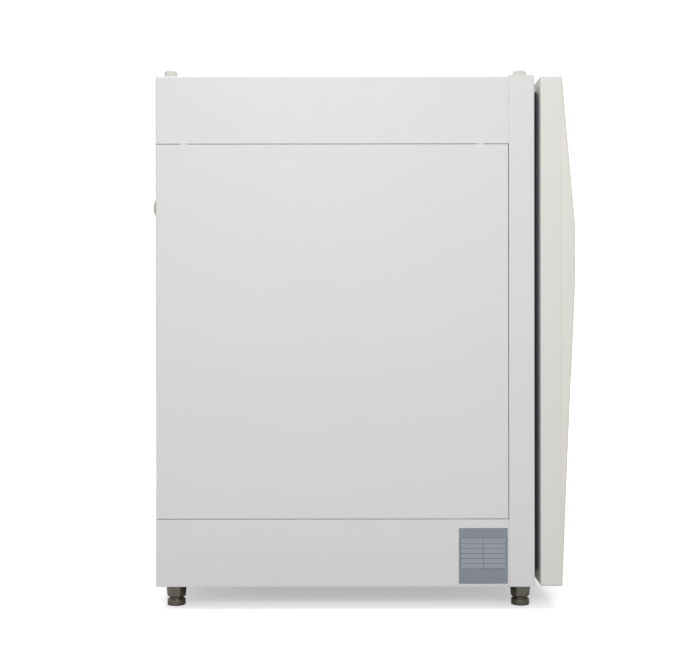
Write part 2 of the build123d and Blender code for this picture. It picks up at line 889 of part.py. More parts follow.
# Access port tube through the rear wall, with a flange on the outside
with BuildPart() as port_sleeve:
    tube_length = rear_y - chamber_back_y + port_flange
    with BuildSketch(front_plane(rear_y)):
        with Locations((port_x, port_z)):
            Circle(port_hole_radius)
    extrude(amount=tube_length)
    with BuildSketch(front_plane(rear_y)):
        with Locations((port_x, port_z)):
            Circle(port_flange_radius)
    extrude(amount=-port_flange)
    with BuildSketch(front_plane(rear_y + port_flange)):
        with Locations((port_x, port_z)):
            Circle(port_bore_radius)
    extrude(amount=tube_length + port_flange, mode=Mode.SUBTRACT)
save(port_sleeve, "port_sleeve")

# Silicone stopper: a plug with a grooved, domed head
with BuildPart() as port_stopper:
    plug_radius = port_bore_radius - stopper_clearance
    head_start = port_flange + stopper_clearance
    head_end = head_start + stopper_head_length
    groove_mid = head_start + stopper_head_length / 3
    stopper_axis = Axis((port_x, rear_y, port_z), (0, 1, 0))
    stopper_plane = Plane((port_x, rear_y, port_z), x_dir=(0, 1, 0), z_dir=(1, 0, 0))
    with BuildSketch(stopper_plane):
        with BuildLine():
            Polyline(
                (-stopper_plug_length, 0),
                (-stopper_plug_length, plug_radius),
                (head_start, plug_radius),
                (head_start, stopper_head_radius),
                (groove_mid - stopper_groove, stopper_head_radius),
                (groove_mid, stopper_head_radius - stopper_groove),
                (groove_mid + stopper_groove, stopper_head_radius),
                (head_end - stopper_dome, stopper_head_radius),
                (head_end - stopper_dome / 3, stopper_head_radius - stopper_dome / 3),
                (head_end, stopper_head_radius - stopper_dome),
                (head_end, 0),
                close=True,
            )
        make_face()
    revolve(axis=stopper_axis)
save(port_stopper, "port_stopper")

# Control board on standoffs, with plain blocks for its larger components
with BuildPart() as control_board:
    board_left = board_side_gap - foam_half
    board_right = -motor_radius - motor_ear - board_motor_gap
    board_width = board_right - board_left
    board_x, board_y = (board_left + board_right) / 2, fan_y - motor_radius
    board_z = deck_top + board_standoff
    standoff_span_x = board_width - 2 * board_standoff_inset
    standoff_span_y = board_depth - 2 * board_standoff_inset
    with Locations((board_x, board_y, board_z + board_thickness / 2)):
        Box(board_width, board_depth, board_thickness)
    with Locations((board_x, board_y, deck_top + board_standoff / 2)):
        with GridLocations(standoff_span_x, standoff_span_y, 2, 2):
            Cylinder(board_standoff / 2, board_standoff)
    with Locations((board_x, board_y, board_z + board_thickness)):
        with GridLocations(board_width / 4, board_depth / 3, 3, 2):
            Box(
                board_chip_width,
                board_chip_depth,
                board_standoff,
                align=(Align.CENTER, Align.CENTER, Align.MIN),
            )
save(control_board, "control_board")

# Power supply: a finned box
with BuildPart() as power_supply:
    supply_x = foam_half - supply_width / 2 - foot_inset
    with Locations((supply_x, -supply_depth / 2, deck_top)):
        Box(
            supply_width,
            supply_depth,
            supply_height,
            align=(Align.CENTER, Align.CENTER, Align.MIN),
        )
    with Locations((supply_x, -supply_depth / 2, deck_top + supply_height)):
        with GridLocations(supply_width / (supply_fin_count + 1), 0, supply_fin_count, 1):
            Box(
                supply_fin_gap,
                supply_depth - 2 * supply_fin_margin,
                2 * supply_fin_depth,
                mode=Mode.SUBTRACT,
            )
save(power_supply, "power_supply")

# Gas valves: three solenoids on one manifold, one for each gas
manifold_mid_x = sum(valve_xs) / valve_count
with BuildPart() as gas_valves:
    manifold_z = gas_z - manifold_height / 2
    with BuildSketch(Plane.XY.offset(manifold_z)):
        with Locations((manifold_mid_x, gas_drop_y)):
            Rectangle(valve_count * valve_pitch, valve_size)
    extrude(amount=manifold_height)
    with BuildSketch(Plane.XY.offset(manifold_z + manifold_height)):
        with Locations(*[(x, gas_drop_y) for x in valve_xs]):
            Circle(valve_size / 2)
    extrude(amount=valve_height - manifold_height / 2)
    with BuildSketch(Plane.XY.offset(deck_top)):
        with Locations((manifold_mid_x, gas_drop_y)):
            with GridLocations((valve_count - 1) * valve_pitch, 0, 2, 1):
                Rectangle(valve_size / 2, valve_size / 2)
    extrude(amount=manifold_z - deck_top)
save(gas_valves, "gas_valves")

# Gas inlets: bulkhead fittings with smooth hose stubs, nut outside and thread inside
with BuildPart() as gas_inlets:
    with BuildSketch(front_plane(rear_y)):
        with Locations(*[(x, gas_z) for x in valve_xs]):
            RegularPolygon(inlet_nut_size, 6)
    extrude(amount=-inlet_nut_length)
    with BuildSketch(front_plane(rear_y + inlet_reach)):
        with Locations(*[(x, gas_z) for x in valve_xs]):
            Circle(inlet_radius)
            Circle(inlet_bore_radius, mode=Mode.SUBTRACT)
    extrude(amount=inlet_reach + 2 * inlet_nut_length)
save(gas_inlets, "gas_inlets")

# Gas tubes: one from each inlet to its valve and one down into the plenum
with BuildPart() as gas_tubes:
    valve_back_y = gas_drop_y + valve_size / 2
    inlet_end_y = rear_y - 2 * inlet_nut_length
    with BuildSketch(front_plane(inlet_end_y)):
        with Locations(*[(x, gas_z) for x in valve_xs]):
            Circle(tube_radius)
    extrude(amount=inlet_end_y - valve_back_y)
    manifold_end_x = manifold_mid_x - valve_count * valve_pitch / 2
    with BuildLine() as drop_path:
        FilletPolyline(
            (manifold_end_x, gas_drop_y, gas_z),
            (gas_drop_x, gas_drop_y, gas_z),
            (gas_drop_x, gas_drop_y, chamber_top - plenum_height / 3),
            radius=tube_bend,
        )
    with BuildSketch(Plane((manifold_end_x, gas_drop_y, gas_z), z_dir=(-1, 0, 0))):
        Circle(tube_radius)
    sweep(path=drop_path.wires()[0])
save(gas_tubes, "gas_tubes")

# Mains inlet: a flanged socket with three contact pins
with BuildPart() as mains_inlet:
    with BuildSketch(front_plane(rear_y)):
        with Locations((mains_x, switch_z)):
            RectangleRounded(mains_width, mains_plate_height, 2 * sheet)
    extrude(amount=-mains_plate)
    with BuildSketch(front_plane(rear_y)):
        with Locations((mains_x, switch_z)):
            Rectangle(mains_width - 2 * sheet, mains_plate_height - 2 * sheet)
    extrude(amount=mains_body_depth)
    with BuildSketch(front_plane(rear_y + mains_plate)):
        with Locations((mains_x, switch_z)):
            cavity = Rectangle(mains_cavity_width, mains_cavity_height)
            chamfer(cavity.vertices().group_by(Axis.Y)[-1], mains_cavity_height / 4)
    extrude(amount=mains_plate + mains_cavity_depth, mode=Mode.SUBTRACT)
    with BuildSketch(front_plane(rear_y - mains_cavity_depth)):
        with Locations((mains_x, switch_z - sheet)):
            with GridLocations(mains_pin_pitch, 0, 3, 1):
                Rectangle(mains_pin_width, mains_pin_height)
    extrude(amount=-mains_cavity_depth)
save(mains_inlet, "mains_inlet")

# Mains switch: a bezel, and the rocker that tilts in it
with BuildPart() as switch_bezel_ring:
    with BuildSketch(front_plane(rear_y)):
        with Locations((switch_x, switch_z)):
            RectangleRounded(
                switch_width + 2 * switch_bezel, switch_height + 2 * switch_bezel, switch_bezel
            )
    extrude(amount=-sheet)
    with BuildSketch(front_plane(rear_y)):
        with Locations((switch_x, switch_z)):
            Rectangle(switch_width, switch_height)
    extrude(amount=rocker_depth + switch_bezel)
    with BuildSketch(front_plane(rear_y + sheet)):
        with Locations((switch_x, switch_z)):
            Rectangle(switch_width - 2 * sheet, switch_height - 2 * sheet)
    extrude(amount=sheet + rocker_depth + sheet, mode=Mode.SUBTRACT)
save(switch_bezel_ring, "switch_bezel")

# Rocker: a shallow V face that rests tilted one way about an axis across the bezel
with BuildPart() as mains_switch:
    rocker_root = rear_y - rocker_axis_depth
    rocker_face = rocker_axis_depth + rocker_proud
    rocker_slack = rocker_face * sin(radians(rocker_tilt))
    rocker_half = switch_height / 2 - sheet - rocker_gap - rocker_slack
    rocker_width = switch_width - 2 * sheet - 2 * rocker_gap
    rocker_side = Plane(
        (switch_x - rocker_width / 2, rocker_root, switch_z),
        x_dir=(0, cos(radians(rocker_tilt)), -sin(radians(rocker_tilt))),
        z_dir=(1, 0, 0),
    )
    with BuildSketch(rocker_side):
        with BuildLine():
            Polyline(
                (0, -rocker_half),
                (rocker_face, -rocker_half),
                (rocker_face - rocker_notch, 0),
                (rocker_face, rocker_half),
                (0, rocker_half),
                (rocker_axis_depth - rocker_depth, 0),
                close=True,
            )
        make_face()
    extrude(amount=rocker_width)
    with Locations((switch_x, rocker_root, switch_z)):
        Cylinder(
            rocker_pin_radius,
            switch_width - 2 * sheet - 2 * rocker_pin_gap,
            rotation=(0, 90, 0),
        )
save(mains_switch, "mains_switch")

# Levelling feet: a hexagon for the spanner, a neck, a disc and a threaded stud
foot_hex_low = foot_disc_height + foot_neck_height + foot_hex_chamfer
foot_hex_top = foot_height - foot_top_gap
for foot_name, foot_place in foot_places.items():
    with BuildPart() as foot:
        with BuildSketch():
            with Locations(foot_place):
                Circle(foot_disc_radius)
        extrude(amount=foot_disc_height)
        disc_rim = foot.faces().sort_by(Axis.Z)[-1].edges()
        chamfer(disc_rim, foot_neck_height / 2)
        with BuildSketch(Plane.XY.offset(foot_disc_height)):
            with Locations(foot_place):
                Circle(foot_neck_radius)
        extrude(amount=foot_neck_height)
        with BuildSketch(Plane.XY.offset(foot_hex_low)):
            with Locations(foot_place):
                RegularPolygon(foot_hex_bottom_radius, 6, rotation=foot_hex_turn)
        extrude(amount=-foot_hex_chamfer, taper=45)
        with BuildSketch(Plane.XY.offset(foot_hex_low)):
            with Locations(foot_place):
                RegularPolygon(foot_hex_bottom_radius, 6, rotation=foot_hex_turn)
        extrude(amount=foot_hex_top - foot_hex_low, taper=-foot_hex_taper)
        with BuildSketch(Plane.XY.offset(foot_hex_top)):
            with Locations(foot_place):
                Circle(foot_stud_radius)
        extrude(amount=foot_stud_length)
    save(foot, f"foot_{foot_name}")

# Foot nuts: welded blocks that the studs screw into
with BuildPart() as foot_nuts:
    for foot_name, foot_place in foot_places.items():
        seat = frame_wall if foot_name.startswith("front") else sheet
        with BuildSketch(Plane.XY.offset(body_bottom + seat)):
            with Locations(foot_place):
                RegularPolygon(foot_nut_size / 2, 6)
                Circle(foot_stud_radius + foot_thread_clearance, mode=Mode.SUBTRACT)
        extrude(amount=foot_nut_height)
save(foot_nuts, "foot_nuts")

# Stacking pads on top: four tapered rubber studs
pad_x = half_width - pad_inset
pad_places = [
    (side * pad_x, y, z)
    for side in (-1, 1)
    for y, z in (
        (frame_front_y + pad_front_offset, frame_top),
        (rear_y - pad_rear_offset, body_top),
    )
]
pad_top = body_top + pad_height
with BuildPart() as stacking_pads:
    for x, y, z in pad_places:
        pad_rise = pad_top - pad_bevel - z
        with BuildSketch(Plane.XY.offset(z)):
            with Locations((x, y)):
                Circle(pad_radius)
        extrude(amount=pad_rise, taper=pad_taper)
        with BuildSketch(Plane.XY.offset(z + pad_rise)):
            with Locations((x, y)):
                Circle(pad_radius - pad_rise * tan(radians(pad_taper)))
        extrude(amount=pad_bevel, taper=45)
save(stacking_pads, "stacking_pads")

# Outer door pivots
pivot_x = half_width - pivot_inset
pivot_y = door_back_y - pivot_setback
door_bottom = body_bottom + door_bottom_clearance
door_top = body_top
plate_x = (half_width - hinge_plate_inset - hinge_plate_width, half_width - hinge_plate_inset)
plate_y = (pivot_y - hinge_plate_nose, frame_front_y + hinge_plate_lap)

# Hinge brackets: plates above and below the frame, each with a pin into the door
with BuildPart() as door_hinges:
    for seat, way in ((frame_top, -1), (body_bottom, 1)):
        block(plate_x, plate_y, (seat, seat - way * hinge_plate))
    noses = door_hinges.edges().filter_by(Axis.Z).group_by(Axis.Y)[0]
    fillet(noses, hinge_plate_radius)
    for seat, way in ((frame_top, -1), (body_bottom, 1)):
        with BuildSketch(Plane.XY.offset(seat)):
            with Locations((pivot_x, pivot_y)):
                Circle(pivot_radius)
        extrude(amount=way * pivot_length)
save(door_hinges, "door_hinges")

# Pivot bushes in the top and bottom walls of the door
bush_radius = pivot_radius + pivot_clearance + bush_wall
with BuildPart() as door_bushes:
    for edge, seat, way in ((door_top, frame_top, -1), (door_bottom, body_bottom, 1)):
        with BuildSketch(Plane.XY.offset(edge)):
            with Locations((pivot_x, pivot_y)):
                Circle(bush_radius)
        extrude(amount=way * pivot_length)
        with BuildSketch(Plane.XY.offset(edge)):
            with Locations((pivot_x, pivot_y)):
                Circle(bush_flange_radius)
        extrude(amount=seat - edge + way * seat_gap)
        with BuildSketch(Plane.XY.offset(seat)):
            with Locations((pivot_x, pivot_y)):
                Circle(pivot_radius + pivot_clearance)
        extrude(amount=way * (pivot_length + seat_gap), mode=Mode.SUBTRACT)
save(door_bushes, "door_bushes")

# Door pan: the folded steel body of the door, open at the front and in the middle of its back
with BuildPart() as door_pan:
    block((-half_width, half_width), (door_edge_y, door_back_y), (door_bottom, door_top))
    corners = door_pan.edges().filter_by(Axis.Y)
    rim = door_pan.faces().sort_by(Axis.Y)[-1].edges()
    fillet(corners + rim, bend_radius)
    block(
        (-half_width + sheet, half_width - sheet),
        (door_edge_y, door_back_y - sheet),
        (door_bottom + sheet, door_top - sheet),
        Mode.SUBTRACT,
    )
    with BuildSketch(front_plane(door_back_y)):
        with Locations((0, (door_bottom + door_top) / 2)):
            RectangleRounded(
                cabinet_width - 2 * door_rear_rim,
                door_top - door_bottom - 2 * door_rear_rim,
                recess_radius,
            )
    extrude(amount=2 * sheet, mode=Mode.SUBTRACT)
    for edge in (door_top, door_bottom):
        with Locations((pivot_x, pivot_y, edge)):
            Cylinder(bush_radius, 4 * sheet, mode=Mode.SUBTRACT)
save(door_pan, "door_pan")

# Heated back panel of the door, lapped behind the rim of the pan
door_mid_z = (door_bottom + door_top) / 2
back_panel_y = door_back_y - sheet
with BuildPart() as door_back_panel:
    with BuildSketch(front_plane(back_panel_y)):
        with Locations((0, door_mid_z)):
            RectangleRounded(
                cabinet_width - 2 * (door_rear_rim - back_panel_lap),
                door_top - door_bottom - 2 * (door_rear_rim - back_panel_lap),
                recess_radius,
            )
    extrude(amount=liner_sheet)
save(door_back_panel, "door_back_panel")

# Door insulation behind the front
with BuildPart() as door_insulation:
    foam_back_y = back_panel_y - liner_sheet
    block(
        (-half_width + door_foam_inset, half_width - door_foam_inset),
        (foam_back_y - door_foam_depth, foam_back_y),
        (door_bottom + door_foam_inset, door_top - door_foam_inset),
    )
save(door_insulation, "door_insulation")

# Door gasket: a soft frame that meets the front frame
with BuildPart() as door_gasket:
    gasket_width_out = cabinet_width - 2 * gasket_inset
    gasket_height_out = door_top - door_bottom - 2 * gasket_inset
    with BuildSketch(front_plane(door_back_y)):
        with Locations((0, door_mid_z)):
            RectangleRounded(gasket_width_out, gasket_height_out, gasket_corner_radius)
            RectangleRounded(
                gasket_width_out - 2 * gasket_width,
                gasket_height_out - 2 * gasket_width,
                gasket_corner_radius / 2,
                mode=Mode.SUBTRACT,
            )
    extrude(amount=gasket_squeeze_gap - door_gap)
    crown = door_gasket.faces().sort_by(Axis.Y)[-1].edges()
    chamfer(crown, gasket_width / 5)
save(door_gasket, "door_gasket")

# Door front: a moulded shell with two facets that meet a flat band
band_bottom = body_bottom + band_bottom_height
band_top = band_bottom + band_height
lip_y = door_edge_y - fascia_lip


def front_profile(setback):
    """Side outline of the door front, set back from its outer face."""
    FilletPolyline(
        (lip_y + setback, door_top),
        (door_front_y + setback, band_top),
        (door_front_y + setback, band_bottom),
        (lip_y + setback, door_bottom),
        radius=fascia_blend,
    )


# Plane of the upper facet, which carries the display and the keys
facet_run = door_top - band_top
facet_fall = lip_y - door_front_y
facet_origin = (0, (lip_y + door_front_y) / 2, (door_top + band_top) / 2)
facet_plane = Plane(facet_origin, x_dir=(1, 0, 0), z_dir=(0, -facet_run, facet_fall))
key_xs = [(i - (key_count - 1) / 2) * key_pitch for i in range(key_count)]
pull_x = pull_edge_distance - half_width
pull_z = body_bottom + pull_mid_height
with BuildPart() as door_fascia:
    with BuildSketch(side_plane(-half_width)):
        with BuildLine():
            front_profile(0)
            Polyline(
                (lip_y, door_bottom),
                (door_edge_y, door_bottom),
                (door_edge_y, door_top),
                (lip_y, door_top),
            )
        make_face()
    extrude(amount=cabinet_width)
    cheek_edges = [
        e
        for e in door_fascia.edges()
        if abs(abs(e.center().X) - half_width) < sheet and e.center().Y < lip_y - fascia_lip
    ]
    fillet(cheek_edges, fascia_edge_radius)
    spigot_half = half_width - sheet - spigot_clearance
    spigot_low = door_bottom + sheet + spigot_clearance
    spigot_high = door_top - sheet - spigot_clearance
    block(
        (-spigot_half, spigot_half),
        (door_edge_y, door_edge_y + spigot_depth),
        (spigot_low, spigot_high),
    )
    cavity_inset = sheet + spigot_clearance + fascia_wall
    cavity_reach = door_edge_y + 2 * spigot_depth
    with BuildSketch(side_plane(-half_width + cavity_inset)):
        with BuildLine():
            front_profile(fascia_wall)
            Polyline(
                (lip_y + fascia_wall, door_bottom),
                (cavity_reach, door_bottom),
                (cavity_reach, door_top),
                (lip_y + fascia_wall, door_top),
            )
        make_face()
        with Locations((door_edge_y, door_mid_z)):
            Rectangle(
                4 * bulge_depth,
                door_top - door_bottom - 2 * cavity_inset,
                mode=Mode.INTERSECT,
            )
    extrude(amount=cabinet_width - 2 * cavity_inset, mode=Mode.SUBTRACT)
    with BuildSketch(facet_plane):
        with Locations((0, display_up)):
            RectangleRounded(
                display_width + 2 * display_bezel,
                display_height + 2 * display_bezel,
                display_bezel,
            )
    extrude(amount=-display_recess, mode=Mode.SUBTRACT)
    with BuildSketch(facet_plane):
        with Locations((0, display_up)):
            Rectangle(display_width, display_height)
        with Locations(*[(x, -key_down) for x in key_xs]):
            RectangleRounded(key_width, key_height, key_height / 4)
    extrude(amount=-4 * fascia_wall, mode=Mode.SUBTRACT)
    with BuildSketch(front_plane(door_front_y + 4 * fascia_wall)):
        with Locations((pull_x, pull_z)):
            RectangleRounded(pull_width, pull_height, pull_width / 3)
    extrude(amount=8 * fascia_wall, mode=Mode.SUBTRACT)
save(door_fascia, "door_fascia")

# Display window set in the recess over its opening
with BuildPart() as display_window:
    with BuildSketch(facet_plane.offset(-display_recess)):
        with Locations((0, display_up)):
            RectangleRounded(
                display_width + 2 * display_bezel - spigot_clearance,
                display_height + 2 * display_bezel - spigot_clearance,
                display_bezel,
            )
    extrude(amount=display_recess)
    with BuildSketch(facet_plane.offset(-display_recess)):
        with Locations((0, display_up)):
            Rectangle(display_width - spigot_clearance, display_height - spigot_clearance)
    extrude(amount=-display_thickness)
save(display_window, "display_window")

# Keys: rounded caps with a stem down to the board
board_face = fascia_wall + control_board_gap
for number, key_x in enumerate(key_xs, start=1):
    with BuildPart() as key:
        with BuildSketch(facet_plane.offset(key_proud)):
            with Locations((key_x, -key_down)):
                RectangleRounded(
                    key_width - 2 * key_gap, key_height - 2 * key_gap, key_height / 4
                )
        extrude(amount=-key_proud - fascia_wall)
        cap_face = key.faces().sort_by(Axis.Y)[0]
        chamfer(cap_face.edges(), key_proud / 2)
        with BuildSketch(facet_plane.offset(-fascia_wall)):
            with Locations((key_x, -key_down)):
                Circle(key_stem_radius)
        extrude(amount=fascia_wall - board_face + key_travel + key_gap)
    save(key, f"key_{number}")

# Board behind the display and keys, with its mounting bosses
with BuildPart() as door_board:
    with BuildSketch(facet_plane.offset(-board_face)):
        Rectangle(control_board_width, control_board_height)
    extrude(amount=-board_thickness)
    with BuildSketch(facet_plane.offset(-board_face)):
        with GridLocations(
            control_board_width - 2 * control_board_boss_inset,
            control_board_height - 2 * control_board_boss_inset,
            2,
            2,
        ):
            Circle(key_stem_radius)
    extrude(amount=board_face - fascia_wall)
save(door_board, "door_board")

# Pull pocket pressed into the door front
with BuildPart() as door_pull_cup:
    with BuildSketch(front_plane(door_front_y + pull_depth)):
        with Locations((pull_x, pull_z)):
            RectangleRounded(
                pull_width - 2 * spigot_clearance,
                pull_height - 2 * spigot_clearance,
                pull_width / 3 - spigot_clearance,
            )
    extrude(amount=pull_depth)
    with BuildSketch(front_plane(door_front_y + pull_depth - pull_wall)):
        with Locations((pull_x, pull_z)):
            RectangleRounded(
                pull_width - 2 * pull_wall,
                pull_height - 2 * pull_wall,
                pull_width / 3 - pull_wall,
            )
    extrude(amount=pull_depth, mode=Mode.SUBTRACT)
save(door_pull_cup, "door_pull_cup")

# Glass door: pane, pivot clamps, brackets, latch and keeper
glass_back_y = panel_front_y - mouth_gasket_depth - seat_gap
glass_front_y = glass_back_y - glass_thickness
glass_half = recess_width / 2 - glass_side_margin
glass_low = recess_bottom + glass_end_margin
glass_high = recess_top - glass_end_margin
glass_pivot_x = recess_width / 2 - glass_pivot_inset
glass_pivot_y = glass_back_y - glass_pivot_advance
with BuildPart() as glass_pane:
    with BuildSketch(front_plane(glass_back_y)):
        with Locations((0, (glass_low + glass_high) / 2)):
            RectangleRounded(2 * glass_half, glass_high - glass_low, glass_radius)
    extrude(amount=glass_thickness)
    chamfer(glass_pane.faces().sort_by(Axis.Y)[0].edges(), glass_thickness / 10)
save(glass_pane, "glass_pane")

clamp_x = (glass_half + 2 * glass_pin_radius - clamp_width, glass_pivot_x + 2 * glass_pin_radius)
clamp_y = (glass_pivot_y - clamp_front, glass_front_y)
clamp_places = [
    (glass_low + clamp_end_distance, -1),
    (glass_high - clamp_end_distance, 1),
]
with BuildPart() as glass_clamps:
    for clamp_z, way in clamp_places:
        block(clamp_x, clamp_y, (clamp_z - clamp_height / 2, clamp_z + clamp_height / 2))
    upright = glass_clamps.edges().filter_by(Axis.Z).group_by(Axis.Y)[0]
    fillet(upright, glass_pin_radius)
    for clamp_z, way in clamp_places:
        with BuildSketch(Plane.XY.offset(clamp_z + way * clamp_height / 2)):
            with Locations((glass_pivot_x, glass_pivot_y)):
                Circle(glass_pin_radius + pivot_clearance)
        extrude(amount=-way * (glass_pin_length + bracket_gap), mode=Mode.SUBTRACT)
save(glass_clamps, "glass_clamps")

# Brackets on the wall of the recess, each with a pin into its clamp
with BuildPart() as glass_brackets:
    for clamp_z, way in clamp_places:
        seat = clamp_z + way * (clamp_height / 2 + bracket_gap)
        block(
            (recess_width / 2 - bracket_width, recess_width / 2),
            (glass_pivot_y - clamp_front, glass_pivot_y + clamp_front),
            (seat, seat + way * bracket_thickness),
        )
        with BuildSketch(Plane.XY.offset(seat)):
            with Locations((glass_pivot_x, glass_pivot_y)):
                Circle(glass_pin_radius)
        extrude(amount=-way * glass_pin_length)
save(glass_brackets, "glass_brackets")

# Latch: a hub on the glass with an arm that turns behind the keeper
latch_x = -glass_half + latch_inset
latch_z = chamber_mid_z
arm_y = glass_front_y - seat_gap
with BuildPart() as glass_latch:
    with BuildSketch(front_plane(arm_y)):
        with Locations((latch_x, latch_z)):
            Circle(latch_hub_radius)
        with Locations((latch_x, latch_z - latch_arm_length / 2)):
            Rectangle(latch_arm_width, latch_arm_length)
        with Locations((latch_x, latch_z - latch_arm_length)):
            Circle(latch_arm_width / 2)
    extrude(amount=latch_arm_thickness)
    with BuildSketch(front_plane(arm_y - latch_arm_thickness)):
        with Locations((latch_x, latch_z)):
            Circle(latch_hub_radius)
    extrude(amount=latch_hub_length)
    knob = glass_latch.faces().sort_by(Axis.Y)[0].edges()
    chamfer(knob, latch_hub_radius / 5)
save(glass_latch, "glass_latch")

with BuildPart() as latch_keeper:
    tongue_back = arm_y - latch_arm_thickness - keeper_gap
    tongue_x = (-recess_width / 2, -recess_width / 2 + keeper_reach)
    keeper_z = (latch_z - keeper_height / 2, latch_z + keeper_height / 2)
    block(tongue_x, (tongue_back - keeper_thickness, tongue_back), keeper_z)
    block(
        (tongue_x[0], tongue_x[0] + keeper_thickness),
        (tongue_back - 2 * keeper_thickness, tongue_back),
        keeper_z,
    )
save(latch_keeper, "latch_keeper")

# Bare rating plate on the base, at the lower front of the left side
with BuildPart() as rating_plate:
    plate_start = panel_front_y + plate_front_distance
    block(
        (-panel_half - plate_thickness, -panel_half),
        (plate_start, plate_start + plate_width),
        (body_bottom + plate_lift, body_bottom + plate_lift + plate_height),
    )
save(rating_plate, "rating_plate")
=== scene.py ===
import math

import bpy
from mathutils import Matrix, Vector


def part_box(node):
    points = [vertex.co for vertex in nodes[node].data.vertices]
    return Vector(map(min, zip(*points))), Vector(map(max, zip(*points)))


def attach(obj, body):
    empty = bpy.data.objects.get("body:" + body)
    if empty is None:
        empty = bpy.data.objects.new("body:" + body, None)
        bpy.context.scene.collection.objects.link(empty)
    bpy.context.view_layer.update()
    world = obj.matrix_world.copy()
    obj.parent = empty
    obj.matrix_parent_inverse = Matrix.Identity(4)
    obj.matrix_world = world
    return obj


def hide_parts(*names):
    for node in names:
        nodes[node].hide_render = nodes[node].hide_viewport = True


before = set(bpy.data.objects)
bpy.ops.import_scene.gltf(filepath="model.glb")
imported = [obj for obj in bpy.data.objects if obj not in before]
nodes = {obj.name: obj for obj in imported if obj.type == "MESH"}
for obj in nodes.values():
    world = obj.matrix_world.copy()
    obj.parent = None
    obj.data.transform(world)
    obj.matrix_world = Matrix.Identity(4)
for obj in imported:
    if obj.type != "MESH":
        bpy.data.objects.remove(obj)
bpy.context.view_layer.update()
print("stage: frame loaded")


# sRGB hex text to the linear colour that the nodes want
def linearColour(hexText):
    channels = [int(hexText[i : i + 2], 16) / 255 for i in (1, 3, 5)]
    return [c / 12.92 if c <= 0.04045 else ((c + 0.055) / 1.055) ** 2.4 for c in channels] + [1]


# one shader node with its inputs set; an underscore stands for a space in an input's name
def addNode(tree, kind, **inputs):
    node = tree.nodes.new(kind)
    for name, value in inputs.items():
        node.inputs[name.replace("_", " ")].default_value = value
    return node


# a material with an empty tree, its output and a Principled shader
def startMaterial(name):
    material = bpy.data.materials.new(name)
    material.use_nodes = True
    tree = material.node_tree
    tree.nodes.clear()
    output = addNode(tree, "ShaderNodeOutputMaterial")
    shader = addNode(tree, "ShaderNodeBsdfPrincipled")
    tree.links.new(shader.outputs["BSDF"], output.inputs["Surface"])
    return material, tree, shader


# noise in the object's own coordinates; grain is the size of one blotch in millimetres on each axis
def addGrain(tree, grain, detail=3):
    place = addNode(tree, "ShaderNodeTexCoord")
    sizes = [1000 / g for g in grain]
    mapping = addNode(tree, "ShaderNodeMapping", Scale=sizes)
    noise = addNode(tree, "ShaderNodeTexNoise", Scale=1, Detail=detail, Roughness=0.5)
    tree.links.new(place.outputs["Object"], mapping.inputs["Vector"])
    tree.links.new(mapping.outputs["Vector"], noise.inputs["Vector"])
    return noise


# What a surface has unless its own look says otherwise; patches, wear and grain in millimetres
plainLook = {
    "patch": (90, 90, 90),
    "wear": (12, 12, 12),
    "grain": (0.8, 0.8, 0.8),
    "bump": 0.1,
    "height": 0.05,
    "sockets": {},
}
bevelSamples = 4
mmPerMetre = 1000


# A solid surface: two close colours in wide soft patches, roughness that varies with a middle
# noise, and a fine bump. bevel rounds the hard edges of folded and cast pieces in the shading.
def makeSurface(name, ownLook):
    look = {**plainLook, **ownLook}
    material, tree, shader = startMaterial(name)
    patches = addGrain(tree, look["patch"], 2)
    tint = addNode(tree, "ShaderNodeMix")
    tint.data_type = "RGBA"
    tint.inputs["A"].default_value = linearColour(look["colour"])
    tint.inputs["B"].default_value = linearColour(look["shade"])
    tree.links.new(patches.outputs["Fac"], tint.inputs["Factor"])
    tree.links.new(tint.outputs["Result"], shader.inputs["Base Color"])
    wear = addGrain(tree, look["wear"], 3)
    low, high = look["rough"]
    spread = addNode(tree, "ShaderNodeMapRange", From_Min=0.3, From_Max=0.7, To_Min=low, To_Max=high)
    tree.links.new(wear.outputs["Fac"], spread.inputs["Value"])
    tree.links.new(spread.outputs["Result"], shader.inputs["Roughness"])
    fine = addGrain(tree, look["grain"], 2)
    bump = addNode(
        tree,
        "ShaderNodeBump",
        Strength=look["bump"],
        Distance=look["height"] / mmPerMetre,
    )
    tree.links.new(fine.outputs["Fac"], bump.inputs["Height"])
    if "bevel" in look:
        edge = addNode(tree, "ShaderNodeBevel", Radius=look["bevel"] / mmPerMetre)
        edge.samples = bevelSamples
        tree.links.new(edge.outputs["Normal"], bump.inputs["Normal"])
    tree.links.new(bump.outputs["Normal"], shader.inputs["Normal"])
    for socket, value in look["sockets"].items():
        shader.inputs[socket].default_value = value
    return material


